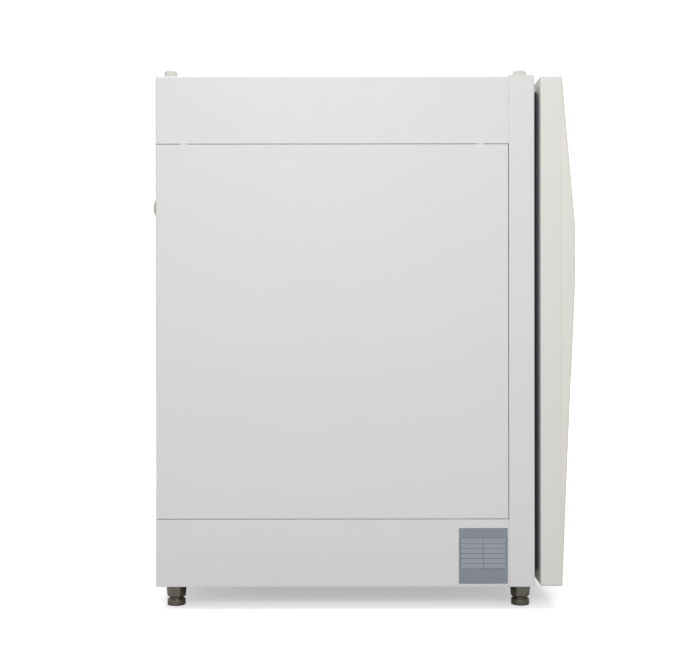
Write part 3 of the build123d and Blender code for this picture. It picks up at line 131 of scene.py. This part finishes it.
looks = {
    # powder coat on sheet steel, fine orange peel
    "powderCoat": {
        "colour": "#e6e6e4",
        "shade": "#e3e3e1",
        "patch": (240, 240, 240),
        "rough": (0.42, 0.5),
        "grain": (1.2, 1.2, 1.2),
        "bump": 0.12,
        "bevel": 0.9,
        "sockets": {"Specular IOR Level": 0.4},
    },
    # the same coat on the door, a little warmer
    "doorCoat": {
        "colour": "#e9e8e3",
        "shade": "#e6e5e0",
        "patch": (240, 240, 240),
        "rough": (0.4, 0.48),
        "grain": (1.2, 1.2, 1.2),
        "bump": 0.12,
        "bevel": 0.9,
        "sockets": {"Specular IOR Level": 0.4},
    },
    # injection-moulded white front, fine spark texture
    "mouldedWhite": {
        "colour": "#ebeae2",
        "shade": "#e8e7df",
        "patch": (200, 200, 200),
        "rough": (0.34, 0.42),
        "grain": (0.6, 0.6, 0.6),
        "bump": 0.08,
        "bevel": 0.6,
    },
    # stainless sheet brushed along X
    "brushedSteel": {
        "colour": "#c2c0ba",
        "shade": "#b4b2ac",
        "patch": (120, 30, 30),
        "rough": (0.24, 0.4),
        "wear": (40, 0.4, 0.4),
        "grain": (30, 0.25, 0.25),
        "bump": 0.25,
        "height": 0.02,
        "bevel": 0.4,
        "sockets": {"Metallic": 1.0, "Anisotropic": 0.5},
    },
    # zinc-plated steel, faintly blotched
    "platedSteel": {
        "colour": "#b9b9b6",
        "shade": "#9d9c97",
        "patch": (18, 18, 18),
        "rough": (0.26, 0.42),
        "grain": (1.5, 1.5, 1.5),
        "bump": 0.08,
        "bevel": 0.4,
        "sockets": {"Metallic": 1.0},
    },
    # turned stainless feet, tool marks around the height
    "turnedSteel": {
        "colour": "#9c988c",
        "shade": "#827e72",
        "patch": (30, 30, 6),
        "rough": (0.26, 0.4),
        "wear": (14, 14, 1.2),
        "grain": (9, 9, 0.3),
        "bump": 0.2,
        "height": 0.03,
        "bevel": 0.5,
        "sockets": {"Metallic": 1.0},
    },
    # cut face of rigid insulating foam, 2 mm cells
    "rigidFoam": {
        "colour": "#e4d8a8",
        "shade": "#d6c68e",
        "rough": (0.85, 0.95),
        "grain": (2, 2, 2),
        "bump": 0.6,
        "height": 0.6,
    },
    # foil-faced heater, slightly creased
    "heaterFoil": {
        "colour": "#c9b9a4",
        "shade": "#b8a48a",
        "rough": (0.3, 0.5),
        "grain": (6, 6, 6),
        "bump": 0.4,
        "height": 0.2,
        "sockets": {"Metallic": 0.8},
    },
    # extruded soft seal, matt grey
    "sealRubber": {
        "colour": "#4b4e51",
        "shade": "#404346",
        "rough": (0.6, 0.75),
        "grain": (0.7, 0.7, 0.7),
        "bump": 0.15,
    },
    # off-white moulded rubber of the pads and the stopper, faint dust
    "paleRubber": {
        "colour": "#d6d5cf",
        "shade": "#c9c7be",
        "patch": (10, 10, 10),
        "rough": (0.55, 0.75),
        "grain": (0.6, 0.6, 0.6),
        "bump": 0.2,
    },
    # translucent silicone
    "silicone": {
        "colour": "#d9d8cf",
        "shade": "#cfcdc2",
        "rough": (0.4, 0.55),
        "grain": (0.8, 0.8, 0.8),
        "bump": 0.1,
        "sockets": {"Subsurface Weight": 0.25, "Subsurface Radius": (0.004, 0.004, 0.003)},
    },
    # mid-grey moulded plastic, eroded texture
    "greyPlastic": {
        "colour": "#7d8084",
        "shade": "#76797d",
        "rough": (0.45, 0.6),
        "grain": (0.5, 0.5, 0.5),
        "bump": 0.25,
        "bevel": 0.4,
    },
    # black moulded plastic
    "blackPlastic": {
        "colour": "#1c1d1f",
        "shade": "#232426",
        "rough": (0.38, 0.55),
        "grain": (0.5, 0.5, 0.5),
        "bump": 0.2,
        "bevel": 0.3,
    },
    # smoked acrylic over the display
    "smokedAcrylic": {
        "colour": "#0b0c0e",
        "shade": "#0d0e10",
        "rough": (0.05, 0.1),
        "grain": (20, 20, 20),
        "bump": 0.02,
        "sockets": {"Coat Weight": 0.6, "Coat Roughness": 0.03},
    },
    # nickel-free brass fittings, slightly dulled
    "brass": {
        "colour": "#c8a25a",
        "shade": "#a98542",
        "patch": (8, 8, 8),
        "rough": (0.22, 0.4),
        "grain": (0.8, 0.8, 0.8),
        "bump": 0.08,
        "bevel": 0.3,
        "sockets": {"Metallic": 1.0},
    },
    # green solder mask
    "circuitBoard": {
        "colour": "#1f5a33",
        "shade": "#184a29",
        "patch": (14, 3, 14),
        "rough": (0.3, 0.45),
        "grain": (1.5, 1.5, 1.5),
        "bump": 0.15,
    },
    # die-cast aluminium
    "castAluminium": {
        "colour": "#a9aaab",
        "shade": "#989a9c",
        "rough": (0.4, 0.55),
        "grain": (0.9, 0.9, 0.9),
        "bump": 0.35,
        "bevel": 0.4,
        "sockets": {"Metallic": 0.9},
    },
    # folded filter paper
    "filterPaper": {
        "colour": "#eae8e0",
        "shade": "#dddad0",
        "rough": (0.85, 0.95),
        "grain": (1.0, 1.0, 1.0),
        "bump": 0.4,
        "height": 0.1,
    },
    # pad-printed white ink
    "whitePrint": {
        "colour": "#f0f0ee",
        "shade": "#e6e6e4",
        "rough": (0.5, 0.6),
        "grain": (0.4, 0.4, 0.4),
        "bump": 0.1,
    },
    # flexible gas hose
    "gasHose": {
        "colour": "#aeb8c2",
        "shade": "#a2adb8",
        "rough": (0.35, 0.5),
        "grain": (2, 2, 2),
        "bump": 0.05,
    },
}
surfaces = {name: makeSurface(name, look) for name, look in looks.items()}


# tempered float glass with a faint green body and wide, barely duller smears
glassLook = {"body": "#eaf6f1", "smear": (60, 60, 25), "dull": 0.04, "bend": 1.45}


def makeGlass(look):
    material, tree, shader = startMaterial("temperedGlass")
    smears = addGrain(tree, look["smear"], 3)
    spread = addNode(tree, "ShaderNodeMapRange", From_Min=0.4, From_Max=0.8, To_Max=look["dull"])
    tree.links.new(smears.outputs["Fac"], spread.inputs["Value"])
    tree.links.new(spread.outputs["Result"], shader.inputs["Roughness"])
    shader.inputs["Base Color"].default_value = linearColour(look["body"])
    shader.inputs["Transmission Weight"].default_value = 1.0
    shader.inputs["IOR"].default_value = look["bend"]
    return material


surfaces["temperedGlass"] = makeGlass(glassLook)

# silver film with a plain ruled grid of empty cells
plateLook = {
    "film": "#989ea7",
    "line": "#4f555f",
    "cell": "#a9afb8",
    "border": 0.0030,
    "lineWidth": 0.0006,
    "columns": 2,
    "rows": 6,
    "gridFrom": 0.27,
    "gridTo": 0.82,
    "brush": (0.3, 6, 0.3),
    "rough": (0.3, 0.45),
    "metal": 0.35,
}


def makePlate(look):
    material, tree, shader = startMaterial("silverFilm")
    low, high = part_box("rating_plate")
    brushed = addGrain(tree, look["brush"], 2)
    place = addNode(tree, "ShaderNodeTexCoord")
    split = addNode(tree, "ShaderNodeSeparateXYZ")
    tree.links.new(place.outputs["Object"], split.inputs["Vector"])

    # 1 inside a span of one axis, 0 outside
    def span(axis, start, end):
        above = addNode(tree, "ShaderNodeMath")
        above.operation = "GREATER_THAN"
        above.inputs[1].default_value = start
        below = addNode(tree, "ShaderNodeMath")
        below.operation = "LESS_THAN"
        below.inputs[1].default_value = end
        both = addNode(tree, "ShaderNodeMath")
        both.operation = "MULTIPLY"
        tree.links.new(split.outputs[axis], above.inputs[0])
        tree.links.new(split.outputs[axis], below.inputs[0])
        tree.links.new(above.outputs[0], both.inputs[0])
        tree.links.new(below.outputs[0], both.inputs[1])
        return both.outputs[0]

    # two values put together by one operation
    def joined(first, second, operation):
        node = addNode(tree, "ShaderNodeMath")
        node.operation = operation
        tree.links.new(first, node.inputs[0])
        tree.links.new(second, node.inputs[1])
        return node.outputs[0]

    gridY = (low.y + look["border"], high.y - look["border"])
    height = high.z - low.z
    gridZ = (low.z + look["gridFrom"] * height, low.z + look["gridTo"] * height)
    inside = joined(span("Y", *gridY), span("Z", *gridZ), "MULTIPLY")
    lines = None
    half = look["lineWidth"] / 2
    for i in range(look["columns"] + 1):
        at = gridY[0] + (gridY[1] - gridY[0]) * i / look["columns"]
        stroke = joined(span("Y", at - half, at + half), span("Z", *gridZ), "MULTIPLY")
        lines = stroke if lines is None else joined(lines, stroke, "MAXIMUM")
    for i in range(look["rows"] + 1):
        at = gridZ[0] + (gridZ[1] - gridZ[0]) * i / look["rows"]
        stroke = joined(span("Z", at - half, at + half), span("Y", *gridY), "MULTIPLY")
        lines = joined(lines, stroke, "MAXIMUM")
    filmMix = addNode(tree, "ShaderNodeMix")
    filmMix.data_type = "RGBA"
    filmMix.inputs["A"].default_value = linearColour(look["film"])
    filmMix.inputs["B"].default_value = linearColour(look["cell"])
    lineMix = addNode(tree, "ShaderNodeMix")
    lineMix.data_type = "RGBA"
    lineMix.inputs["B"].default_value = linearColour(look["line"])
    tree.links.new(inside, filmMix.inputs["Factor"])
    tree.links.new(filmMix.outputs["Result"], lineMix.inputs["A"])
    tree.links.new(lines, lineMix.inputs["Factor"])
    tree.links.new(lineMix.outputs["Result"], shader.inputs["Base Color"])
    smooth, dull = look["rough"]
    spread = addNode(tree, "ShaderNodeMapRange", To_Min=smooth, To_Max=dull)
    tree.links.new(brushed.outputs["Fac"], spread.inputs["Value"])
    tree.links.new(spread.outputs["Result"], shader.inputs["Roughness"])
    shader.inputs["Metallic"].default_value = look["metal"]
    return material


surfaces["silverFilm"] = makePlate(plateLook)

# segments lit from behind, pale blue-white, a little uneven
litLook = {"unlit": "#101412", "colour": "#bff4ff", "strength": 1.6, "spread": 0.1, "blotch": (3, 3, 3)}


def makeLit(look):
    material, tree, shader = startMaterial("litSegments")
    glow = addGrain(tree, look["blotch"], 1)
    low, high = (look["strength"] * (1 + side * look["spread"]) for side in (-1, 1))
    level = addNode(tree, "ShaderNodeMapRange", To_Min=low, To_Max=high)
    tree.links.new(glow.outputs["Fac"], level.inputs["Value"])
    tree.links.new(level.outputs["Result"], shader.inputs["Emission Strength"])
    shader.inputs["Base Color"].default_value = linearColour(look["unlit"])
    shader.inputs["Emission Color"].default_value = linearColour(look["colour"])
    return material


surfaces["litSegments"] = makeLit(litLook)

# which surface each CAD node wears
dressing = {
    "powderCoat": "front_frame top_cover left_side_panel right_side_panel rear_panel base_pan",
    "doorCoat": "door_pan",
    "mouldedWhite": "door_fascia",
    "brushedSteel": "chamber_liner shelf_racks fan_plenum rear_duct door_hinges door_back_panel"
    " glass_clamps glass_brackets latch_keeper water_pan shelf_1 shelf_2 shelf_3",
    "platedSteel": "lower_deck upper_deck panel_screws foot_nuts",
    "turnedSteel": "foot_front_left foot_front_right foot_rear_left foot_rear_right",
    "rigidFoam": "insulation door_insulation",
    "heaterFoil": "heater_mats",
    "sealRubber": "door_gasket",
    "paleRubber": "stacking_pads port_stopper",
    "silicone": "mouth_gasket port_sleeve",
    "greyPlastic": "fan_wheel chamber_sensors door_bushes door_pull_cup glass_latch"
    " key_1 key_2 key_3 key_4",
    "blackPlastic": "mains_inlet switch_bezel mains_switch",
    "smokedAcrylic": "display_window",
    "brass": "gas_valves gas_inlets",
    "circuitBoard": "control_board door_board",
    "castAluminium": "fan_motor power_supply",
    "filterPaper": "hepa_filter",
    "gasHose": "gas_tubes",
    "temperedGlass": "glass_pane",
    "silverFilm": "rating_plate",
}
for surface, names in dressing.items():
    for name in names.split():
        nodes[name].data.materials.clear()
        nodes[name].data.materials.append(surfaces[surface])
print("stage: materials")


mergeGap = 0.00001


# nothing selected, before each piece
def startPiece():
    bpy.ops.object.select_all(action="DESELECT")


# the active object's place, turn and scale go into its mesh, with its name and surface
def finishPiece(piece, name, surface, body):
    piece.name = name
    bpy.ops.object.select_all(action="DESELECT")
    bpy.context.view_layer.objects.active = piece
    piece.select_set(True)
    bpy.ops.object.transform_apply(location=True, rotation=True, scale=True)
    piece.data.materials.clear()
    piece.data.materials.append(surfaces[surface])
    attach(piece, body)
    return piece


ringLook = {"cornerSteps": 8, "smoothAngle": 30}


# a closed ring: a rounded rectangle across X and Z, swept with a profile of (width, depth) points
def sweptRing(width, height, radius, centre, profile):
    startPiece()
    bpy.ops.mesh.primitive_plane_add(size=1)
    ring = bpy.context.active_object
    ring.scale = (width, height, 1)
    bpy.ops.object.transform_apply(scale=True)
    bpy.ops.object.mode_set(mode="EDIT")
    bpy.ops.mesh.select_all(action="SELECT")
    bpy.ops.mesh.bevel(offset=radius, segments=ringLook["cornerSteps"], affect="VERTICES")
    bpy.ops.mesh.delete(type="ONLY_FACE")
    bpy.ops.object.mode_set(mode="OBJECT")
    bpy.ops.object.convert(target="CURVE")
    bpy.ops.curve.primitive_bezier_curve_add()
    outline = bpy.context.active_object
    bpy.ops.object.mode_set(mode="EDIT")
    bpy.ops.curve.select_all(action="SELECT")
    bpy.ops.curve.delete(type="VERT")
    bpy.ops.object.mode_set(mode="OBJECT")
    spline = outline.data.splines.new("POLY")
    spline.points.add(len(profile) - 1)
    for point, (across, deep) in zip(spline.points, profile):
        point.co = (across, deep, 0, 1)
    spline.use_cyclic_u = True
    ring.data.dimensions = "3D"
    ring.data.bevel_mode = "OBJECT"
    ring.data.bevel_object = outline
    startPiece()
    ring.select_set(True)
    bpy.context.view_layer.objects.active = ring
    bpy.ops.object.convert(target="MESH")
    bpy.data.objects.remove(outline)
    bpy.ops.object.mode_set(mode="EDIT")
    bpy.ops.mesh.select_all(action="SELECT")
    bpy.ops.mesh.remove_doubles(threshold=mergeGap)
    bpy.ops.mesh.normals_make_consistent(inside=False)
    bpy.ops.object.mode_set(mode="OBJECT")
    ring.rotation_euler = (math.radians(90), 0, 0)
    ring.location = centre
    bpy.ops.object.transform_apply(location=True, rotation=True)
    bpy.ops.object.shade_smooth_by_angle(angle=math.radians(ringLook["smoothAngle"]))
    return ring


# Door gasket: a base strip on the door, one soft fold, and a wide bulb that lies on the frame.
# Each point of the outline is half a width and how far it is from the door, or from the frame.
gasketLook = {
    "cornerRadius": 0.016,
    "middle": 0.0070,
    "fromDoor": (
        (0.0066, 0),
        (0.0066, 0.0012),
        (0.0036, 0.0022),
        (0.0054, 0.0036),
        (0.0030, 0.0050),
        (0.0046, 0.0058),
        (0.0062, 0.0068),
    ),
    "fromFrame": ((0.0062, 0.0010), (0.0048, 0)),
}


# a ring that fills a node's box, its outline mirrored about the middle of its width
def fittedRing(node, side, middle, radius):
    low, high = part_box(node)
    profile = side + [(-across, along) for across, along in reversed(side)]
    width = high.x - low.x - 2 * middle
    height = high.z - low.z - 2 * middle
    return sweptRing(width, height, radius, (low + high) / 2, profile)


# half the depth of a node's box along Y
def halfDepth(node):
    low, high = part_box(node)
    return (high.y - low.y) / 2


def makeGasket(look):
    deep = halfDepth("door_gasket")
    side = [(across, along - deep) for across, along in look["fromDoor"]]
    side += [(across, deep - along) for across, along in look["fromFrame"]]
    middle = look["middle"]
    ring = fittedRing("door_gasket", side, middle, look["cornerRadius"] - middle)
    piece = finishPiece(ring, "bellowsGasket", "sealRubber", "outer_door")
    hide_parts("door_gasket")


makeGasket(gasketLook)
print("stage: door gasket")


faceLook = {"facing": 0.9, "rimDepth": 0.0001, "lift": 0.00005}


# centre and outward direction of a node's outermost flat face on one side
def outerFace(name, towards):
    mesh = nodes[name].data
    facing = [p for p in mesh.polygons if p.normal.dot(Vector(towards)) > faceLook["facing"]]
    normal = max(facing, key=lambda p: p.area).normal.copy()
    reach = max(v.co.dot(normal) for v in mesh.vertices)
    rim = [v.co for v in mesh.vertices if v.co.dot(normal) > reach - faceLook["rimDepth"]]
    centre = [(min(c[i] for c in rim) + max(c[i] for c in rim)) / 2 for i in range(3)]
    return Vector(centre), normal


# a flat frame on a face: X across, Y up the face, Z outward
def faceMatrix(centre, normal):
    up = Vector((0, 0, 1))
    across = up.cross(normal).normalized()
    rise = normal.cross(across)
    turn = Matrix((across, rise, normal)).transposed().to_4x4()
    return Matrix.Translation(centre) @ turn


# a low bar on a face frame, its middle at (across, up); all in metres
def addBar(face, across, up, width, height, thick):
    bpy.ops.mesh.primitive_cube_add(size=1)
    bar = bpy.context.active_object
    place = Matrix.Translation((across, up, thick / 2 + faceLook["lift"]))
    bar.matrix_world = face @ place @ Matrix.Diagonal((width, height, thick, 1))
    return bar


# several objects into one mesh
def joinAll(objects):
    startPiece()
    for item in objects:
        item.select_set(True)
    bpy.context.view_layer.objects.active = objects[0]
    bpy.ops.object.join()
    return bpy.context.active_object


# Display digits: three rows of plain numbers in lit segments on the window's face, each row with
# a lamp at its left; across is the middle of a row's last digit
digitsLook = {
    "rows": ("37.0", "5.0", "20.9"),
    "rowPitch": 0.019,
    "height": 0.013,
    "width": 0.0068,
    "stroke": 0.0014,
    "pitch": 0.0102,
    "thick": 0.00015,
    "across": 0.022,
    "lampAcross": -0.045,
    "lamp": 0.004,
}
segmentsOf = {
    "0": "abcdef",
    "2": "abged",
    "3": "abgcd",
    "5": "afgcd",
    "7": "abc",
    "9": "abcdfg",
}


def makeDigits(look):
    face = faceMatrix(*outerFace("display_window", (0, -1, 0)))
    wide, tall, stroke, thick = look["width"], look["height"], look["stroke"], look["thick"]
    places = {
        "a": (0, tall / 2, wide - stroke, stroke),
        "d": (0, -tall / 2, wide - stroke, stroke),
        "g": (0, 0, wide - stroke, stroke),
        "b": (wide / 2, tall / 4, stroke, tall / 2 - stroke),
        "c": (wide / 2, -tall / 4, stroke, tall / 2 - stroke),
        "f": (-wide / 2, tall / 4, stroke, tall / 2 - stroke),
        "e": (-wide / 2, -tall / 4, stroke, tall / 2 - stroke),
    }
    bars = []
    for row, number in enumerate(look["rows"]):
        up = look["rowPitch"] * (1 - row)
        across = look["across"]
        for sign in reversed(number):
            if sign == ".":
                spot = across + look["pitch"] / 2
                bars.append(addBar(face, spot, up - tall / 2, stroke, stroke, thick))
                continue
            for segment in segmentsOf[sign]:
                x, z, w, h = places[segment]
                bars.append(addBar(face, across + x, up + z, w, h, thick))
            across -= look["pitch"]
        bars.append(addBar(face, look["lampAcross"], up, look["lamp"], look["lamp"], thick))
    piece = joinAll(bars)
    finishPiece(piece, "displayDigits", "litSegments", "outer_door")


makeDigits(digitsLook)

# Key marks printed on the caps: a plus, a minus, an up wedge and a down wedge
markLook = {"size": 0.0058, "stroke": 0.0011, "thick": 0.00008, "wedgeRows": 4}


def makeKeyMarks(look):
    size, stroke, thick = look["size"], look["stroke"], look["thick"]
    for number in range(1, 5):
        face = faceMatrix(*outerFace(f"key_{number}", (0, -1, 0)))
        bars = []
        if number in (1, 2):
            bars.append(addBar(face, 0, 0, size, stroke, thick))
        if number == 1:
            bars.append(addBar(face, 0, 0, stroke, size, thick))
        if number in (3, 4):
            rows = look["wedgeRows"]
            for step in range(rows):
                long = size * (1 - step / rows)
                up = (step - (rows - 1) / 2) * stroke * (1 if number == 3 else -1)
                bars.append(addBar(face, 0, up, long, stroke, thick))
        piece = joinAll(bars)
        finishPiece(piece, f"keyMark{number}", "whitePrint", f"key_{number}")


makeKeyMarks(markLook)
print("stage: display and keys")

# Rear screws: pan heads with a cross recess, each on its own seat
screwLook = {
    "radius": 0.004,
    "height": 0.0024,
    "sides": 40,
    "round": 0.0012,
    "roundSteps": 5,
    "roundShape": 0.6,
    "slot": 0.0011,
    "deep": 0.0014,
    "slotReach": 1.25,
    "turn": 37,
    "turns": 5,
    "smoothAngle": 35,
}


def makeScrews(look):
    low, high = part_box("panel_screws")
    radius, height = look["radius"], look["height"]
    xs = (low.x + radius, (low.x + high.x) / 2, high.x - radius)
    zs = (low.z + radius, (low.z + high.z) / 2, high.z - radius)
    startPiece()
    bpy.ops.mesh.primitive_cylinder_add(vertices=look["sides"], radius=radius, depth=height)
    head = bpy.context.active_object
    for edge in head.data.edges:
        edge.select = all(head.data.vertices[v].co.z > 0 for v in edge.vertices)
    for face in head.data.polygons:
        face.select = face.normal.z > faceLook["facing"]
    bpy.ops.object.mode_set(mode="EDIT")
    bpy.ops.mesh.bevel(
        offset=look["round"], segments=look["roundSteps"], profile=look["roundShape"]
    )
    bpy.ops.object.mode_set(mode="OBJECT")
    cutters = []
    for turn in (0, 90):
        bpy.ops.mesh.primitive_cube_add(size=1, location=(0, 0, height / 2))
        blade = bpy.context.active_object
        blade.scale = (radius * look["slotReach"], look["slot"], 2 * look["deep"])
        blade.rotation_euler = (0, 0, math.radians(turn))
        cutters.append(blade)
    for blade in cutters:
        cut = head.modifiers.new("recess", "BOOLEAN")
        cut.operation = "DIFFERENCE"
        cut.object = blade
    startPiece()
    head.select_set(True)
    bpy.context.view_layer.objects.active = head
    bpy.ops.object.convert(target="MESH")
    for blade in cutters:
        bpy.data.objects.remove(blade)
    heads = []
    for x in xs:
        for z in zs:
            copy = head.copy()
            copy.data = head.data.copy()
            bpy.context.scene.collection.objects.link(copy)
            turn = look["turn"] * (len(heads) % look["turns"])
            copy.rotation_euler = (math.radians(-90), math.radians(turn), 0)
            copy.location = (x, (low.y + high.y) / 2, z)
            heads.append(copy)
    bpy.data.objects.remove(head)
    piece = joinAll(heads)
    bpy.ops.object.shade_smooth_by_angle(angle=math.radians(look["smoothAngle"]))
    finishPiece(piece, "crossScrews", "platedSteel", "cabinet")
    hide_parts("panel_screws")


makeScrews(screwLook)

# Hose stubs: each turned from one profile with three barbs, a collar and a bore, and its hex nut.
# rise and drop are the shares of a barb's length where its slope ends and its root starts.
barbLook = {
    "radius": 0.004,
    "bore": 0.0025,
    "root": 0.0010,
    "tip": 0.0009,
    "rise": 0.75,
    "drop": 0.8,
    "barbs": 3,
    "plain": 0.006,
    "collar": 0.004,
    "steps": 40,
    "nut": 0.009,
    "nutLength": 0.008,
    "nutEdge": 0.0005,
    "smoothAngle": 28,
}


def makeBarbs(look):
    low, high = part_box("gas_inlets")
    radius, bore, nut = look["radius"], look["bore"], look["nut"]
    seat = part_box("rear_panel")[1].y
    tip = high.y
    xs = (low.x + nut, (low.x + high.x) / 2, high.x - nut)
    z = (low.z + high.z) / 2
    start = seat + look["nutLength"]
    pitch = (tip - start - look["plain"]) / look["barbs"]
    root = radius - look["root"]
    outline = [(bore, tip), (radius - look["tip"], tip)]
    for step in range(look["barbs"]):
        near = tip - step * pitch
        outline += [(radius, near - pitch * look["rise"]), (root, near - pitch * look["drop"])]
        outline += [(root, near - pitch)]
    outline += [(radius, start + look["collar"]), (radius, low.y), (bore, low.y)]
    made = []
    for x in xs:
        startPiece()
        bpy.ops.mesh.primitive_circle_add(vertices=len(outline), radius=radius)
        turned = bpy.context.active_object
        for vertex, (away, along) in zip(turned.data.vertices, outline):
            vertex.co = (away, along, 0)
        bpy.ops.object.mode_set(mode="EDIT")
        bpy.ops.mesh.select_all(action="SELECT")
        bpy.ops.mesh.spin(steps=look["steps"], angle=math.tau, center=(0, 0, 0), axis=(0, 1, 0))
        bpy.ops.mesh.select_all(action="SELECT")
        bpy.ops.mesh.remove_doubles(threshold=mergeGap)
        bpy.ops.mesh.normals_make_consistent(inside=False)
        bpy.ops.object.mode_set(mode="OBJECT")
        turned.location = (x, 0, z)
        made.append(turned)
        bpy.ops.mesh.primitive_cylinder_add(vertices=6, radius=nut, depth=look["nutLength"])
        hexagon = bpy.context.active_object
        bpy.ops.object.mode_set(mode="EDIT")
        bpy.ops.mesh.select_all(action="SELECT")
        bpy.ops.mesh.bevel(offset=look["nutEdge"], segments=2)
        bpy.ops.object.mode_set(mode="OBJECT")
        hexagon.rotation_euler = (math.radians(90), math.radians(30), 0)
        hexagon.location = (x, seat + look["nutLength"] / 2, z)
        made.append(hexagon)
    piece = joinAll(made)
    bpy.ops.object.shade_smooth_by_angle(angle=math.radians(look["smoothAngle"]))
    finishPiece(piece, "hoseStubs", "brass", "cabinet")
    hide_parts("gas_inlets")


makeBarbs(barbLook)
print("stage: rear fittings")

# Chamber mouth seal: a flat base with two soft lips that the glass lies on. Each point of the
# outline is half a width and how far it is from the frame, or from the glass.
lipLook = {
    "radius": 0.014,
    "half": 0.006,
    "fromFrame": ((0.0060, 0), (0.0060, 0.0022), (0.0046, 0.0034)),
    "fromGlass": ((0.0058, 0.0030), (0.0048, 0), (0.0032, 0.0016), (0.0008, 0.0046)),
}


def makeMouthSeal(look):
    deep = halfDepth("mouth_gasket")
    side = [(across, deep - along) for across, along in look["fromFrame"]]
    side += [(across, along - deep) for across, along in look["fromGlass"]]
    ring = fittedRing("mouth_gasket", side, look["half"], look["radius"] + look["half"])
    piece = finishPiece(ring, "mouthSeal", "silicone", "cabinet")
    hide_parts("mouth_gasket")


makeMouthSeal(lipLook)
print("stage: mouth seal")

# Studio: a pale floor with painted light, a glow that only the camera sees: weak near the cabinet,
# where it lightens the real soft shadow, and rising to white further out
floorLook = {
    "size": 16,
    "seen": "#f6f6f6",
    "bounce": "#b4b4b4",
    "rough": 0.9,
    "shine": 0.1,
    "riseFrom": 0.6,
    "riseTo": 1.8,
    # painted light: how strongly the floor glows for the camera near the cabinet and far out
    "near": 0.42,
    "far": 1.2,
}
startPiece()
bpy.ops.mesh.primitive_plane_add(size=floorLook["size"])
floor = bpy.context.active_object
floor.name = "studioFloor"
floorMaterial, floorTree, floorShader = startMaterial("paleFloor")
floorShader.inputs["Roughness"].default_value = floorLook["rough"]
floorShader.inputs["Specular IOR Level"].default_value = floorLook["shine"]
floorShader.inputs["Emission Color"].default_value = (1, 1, 1, 1)
rayKind = addNode(floorTree, "ShaderNodeLightPath")
floorTint = addNode(floorTree, "ShaderNodeMix")
floorTint.data_type = "RGBA"
floorTint.inputs["A"].default_value = linearColour(floorLook["bounce"])
floorTint.inputs["B"].default_value = linearColour(floorLook["seen"])
floorTree.links.new(rayKind.outputs["Is Camera Ray"], floorTint.inputs["Factor"])
floorTree.links.new(floorTint.outputs["Result"], floorShader.inputs["Base Color"])
floorPlace = addNode(floorTree, "ShaderNodeTexCoord")
away = addNode(floorTree, "ShaderNodeVectorMath")
away.operation = "LENGTH"
floorTree.links.new(floorPlace.outputs["Object"], away.inputs[0])
# painted light: a camera-only glow that grows with distance from the cabinet; near it the glow lightens
# the real shadow, further out it turns the floor white
lift = addNode(
    floorTree,
    "ShaderNodeMapRange",
    From_Min=floorLook["riseFrom"],
    From_Max=floorLook["riseTo"],
    To_Min=floorLook["near"],
    To_Max=floorLook["far"],
)
floorTree.links.new(away.outputs["Value"], lift.inputs["Value"])
paintedFloorGlow = addNode(floorTree, "ShaderNodeMath")
paintedFloorGlow.operation = "MULTIPLY"
floorTree.links.new(lift.outputs["Result"], paintedFloorGlow.inputs[0])
floorTree.links.new(rayKind.outputs["Is Camera Ray"], paintedFloorGlow.inputs[1])
floorTree.links.new(paintedFloorGlow.outputs[0], floorShader.inputs["Emission Strength"])
floor.data.materials.append(floorMaterial)

worldLook = {"light": 0.56, "seen": 1.1}
world = bpy.data.worlds.new("studioWorld")
bpy.context.scene.world = world
world.use_nodes = True
sky = world.node_tree
sky.nodes.clear()
skyOutput = addNode(sky, "ShaderNodeOutputWorld")
skyBack = addNode(sky, "ShaderNodeBackground", Color=(1, 1, 1, 1))
skyRay = addNode(sky, "ShaderNodeLightPath")
skyStrength = addNode(
    sky, "ShaderNodeMapRange", To_Min=worldLook["light"], To_Max=worldLook["seen"]
)
sky.links.new(skyRay.outputs["Is Camera Ray"], skyStrength.inputs["Value"])
sky.links.new(skyStrength.outputs["Result"], skyBack.inputs["Strength"])
sky.links.new(skyBack.outputs["Background"], skyOutput.inputs["Surface"])


# an area light that looks at a point
def addSoftbox(name, place, target, size, watts):
    data = bpy.data.lights.new(name, "AREA")
    data.shape = "RECTANGLE"
    data.size, data.size_y = size
    data.energy = watts
    lamp = bpy.data.objects.new(name, data)
    bpy.context.scene.collection.objects.link(lamp)
    lamp.location = place
    lamp.rotation_euler = (Vector(target) - Vector(place)).to_track_quat("-Z", "Y").to_euler()


addSoftbox("overhead", (0, 0, 3.2), (0, 0, 0), (3.0, 3.0), 60)
addSoftbox("sideKey", (-2.5, 0.1, 1.5), (-0.3, 0.0, 0.78), (1.0, 0.8), 20)

# Camera: square on to the left side, a little above the middle of the cabinet's height
cameraLook = {
    "place": (-2.2105, 0.0159, 0.4975),
    "lens": 56.76,
    "sensor": 36,
    "shiftX": 0.0071,
    "shiftY": -0.0171,
    "roll": 0.06,
}
cameraData = bpy.data.cameras.new("camera")
cameraData.lens = cameraLook["lens"]
cameraData.sensor_width = cameraLook["sensor"]
cameraData.shift_x = cameraLook["shiftX"]
cameraData.shift_y = cameraLook["shiftY"]
camera = bpy.data.objects.new("camera", cameraData)
bpy.context.scene.collection.objects.link(camera)
camera.location = cameraLook["place"]
camera.rotation_euler = (math.radians(90), 0, math.radians(-90))
camera.rotation_euler.rotate_axis("Z", math.radians(-cameraLook["roll"]))
bpy.context.scene.camera = camera
bpy.context.scene.view_settings.view_transform = "Standard"
print("stage: studio")
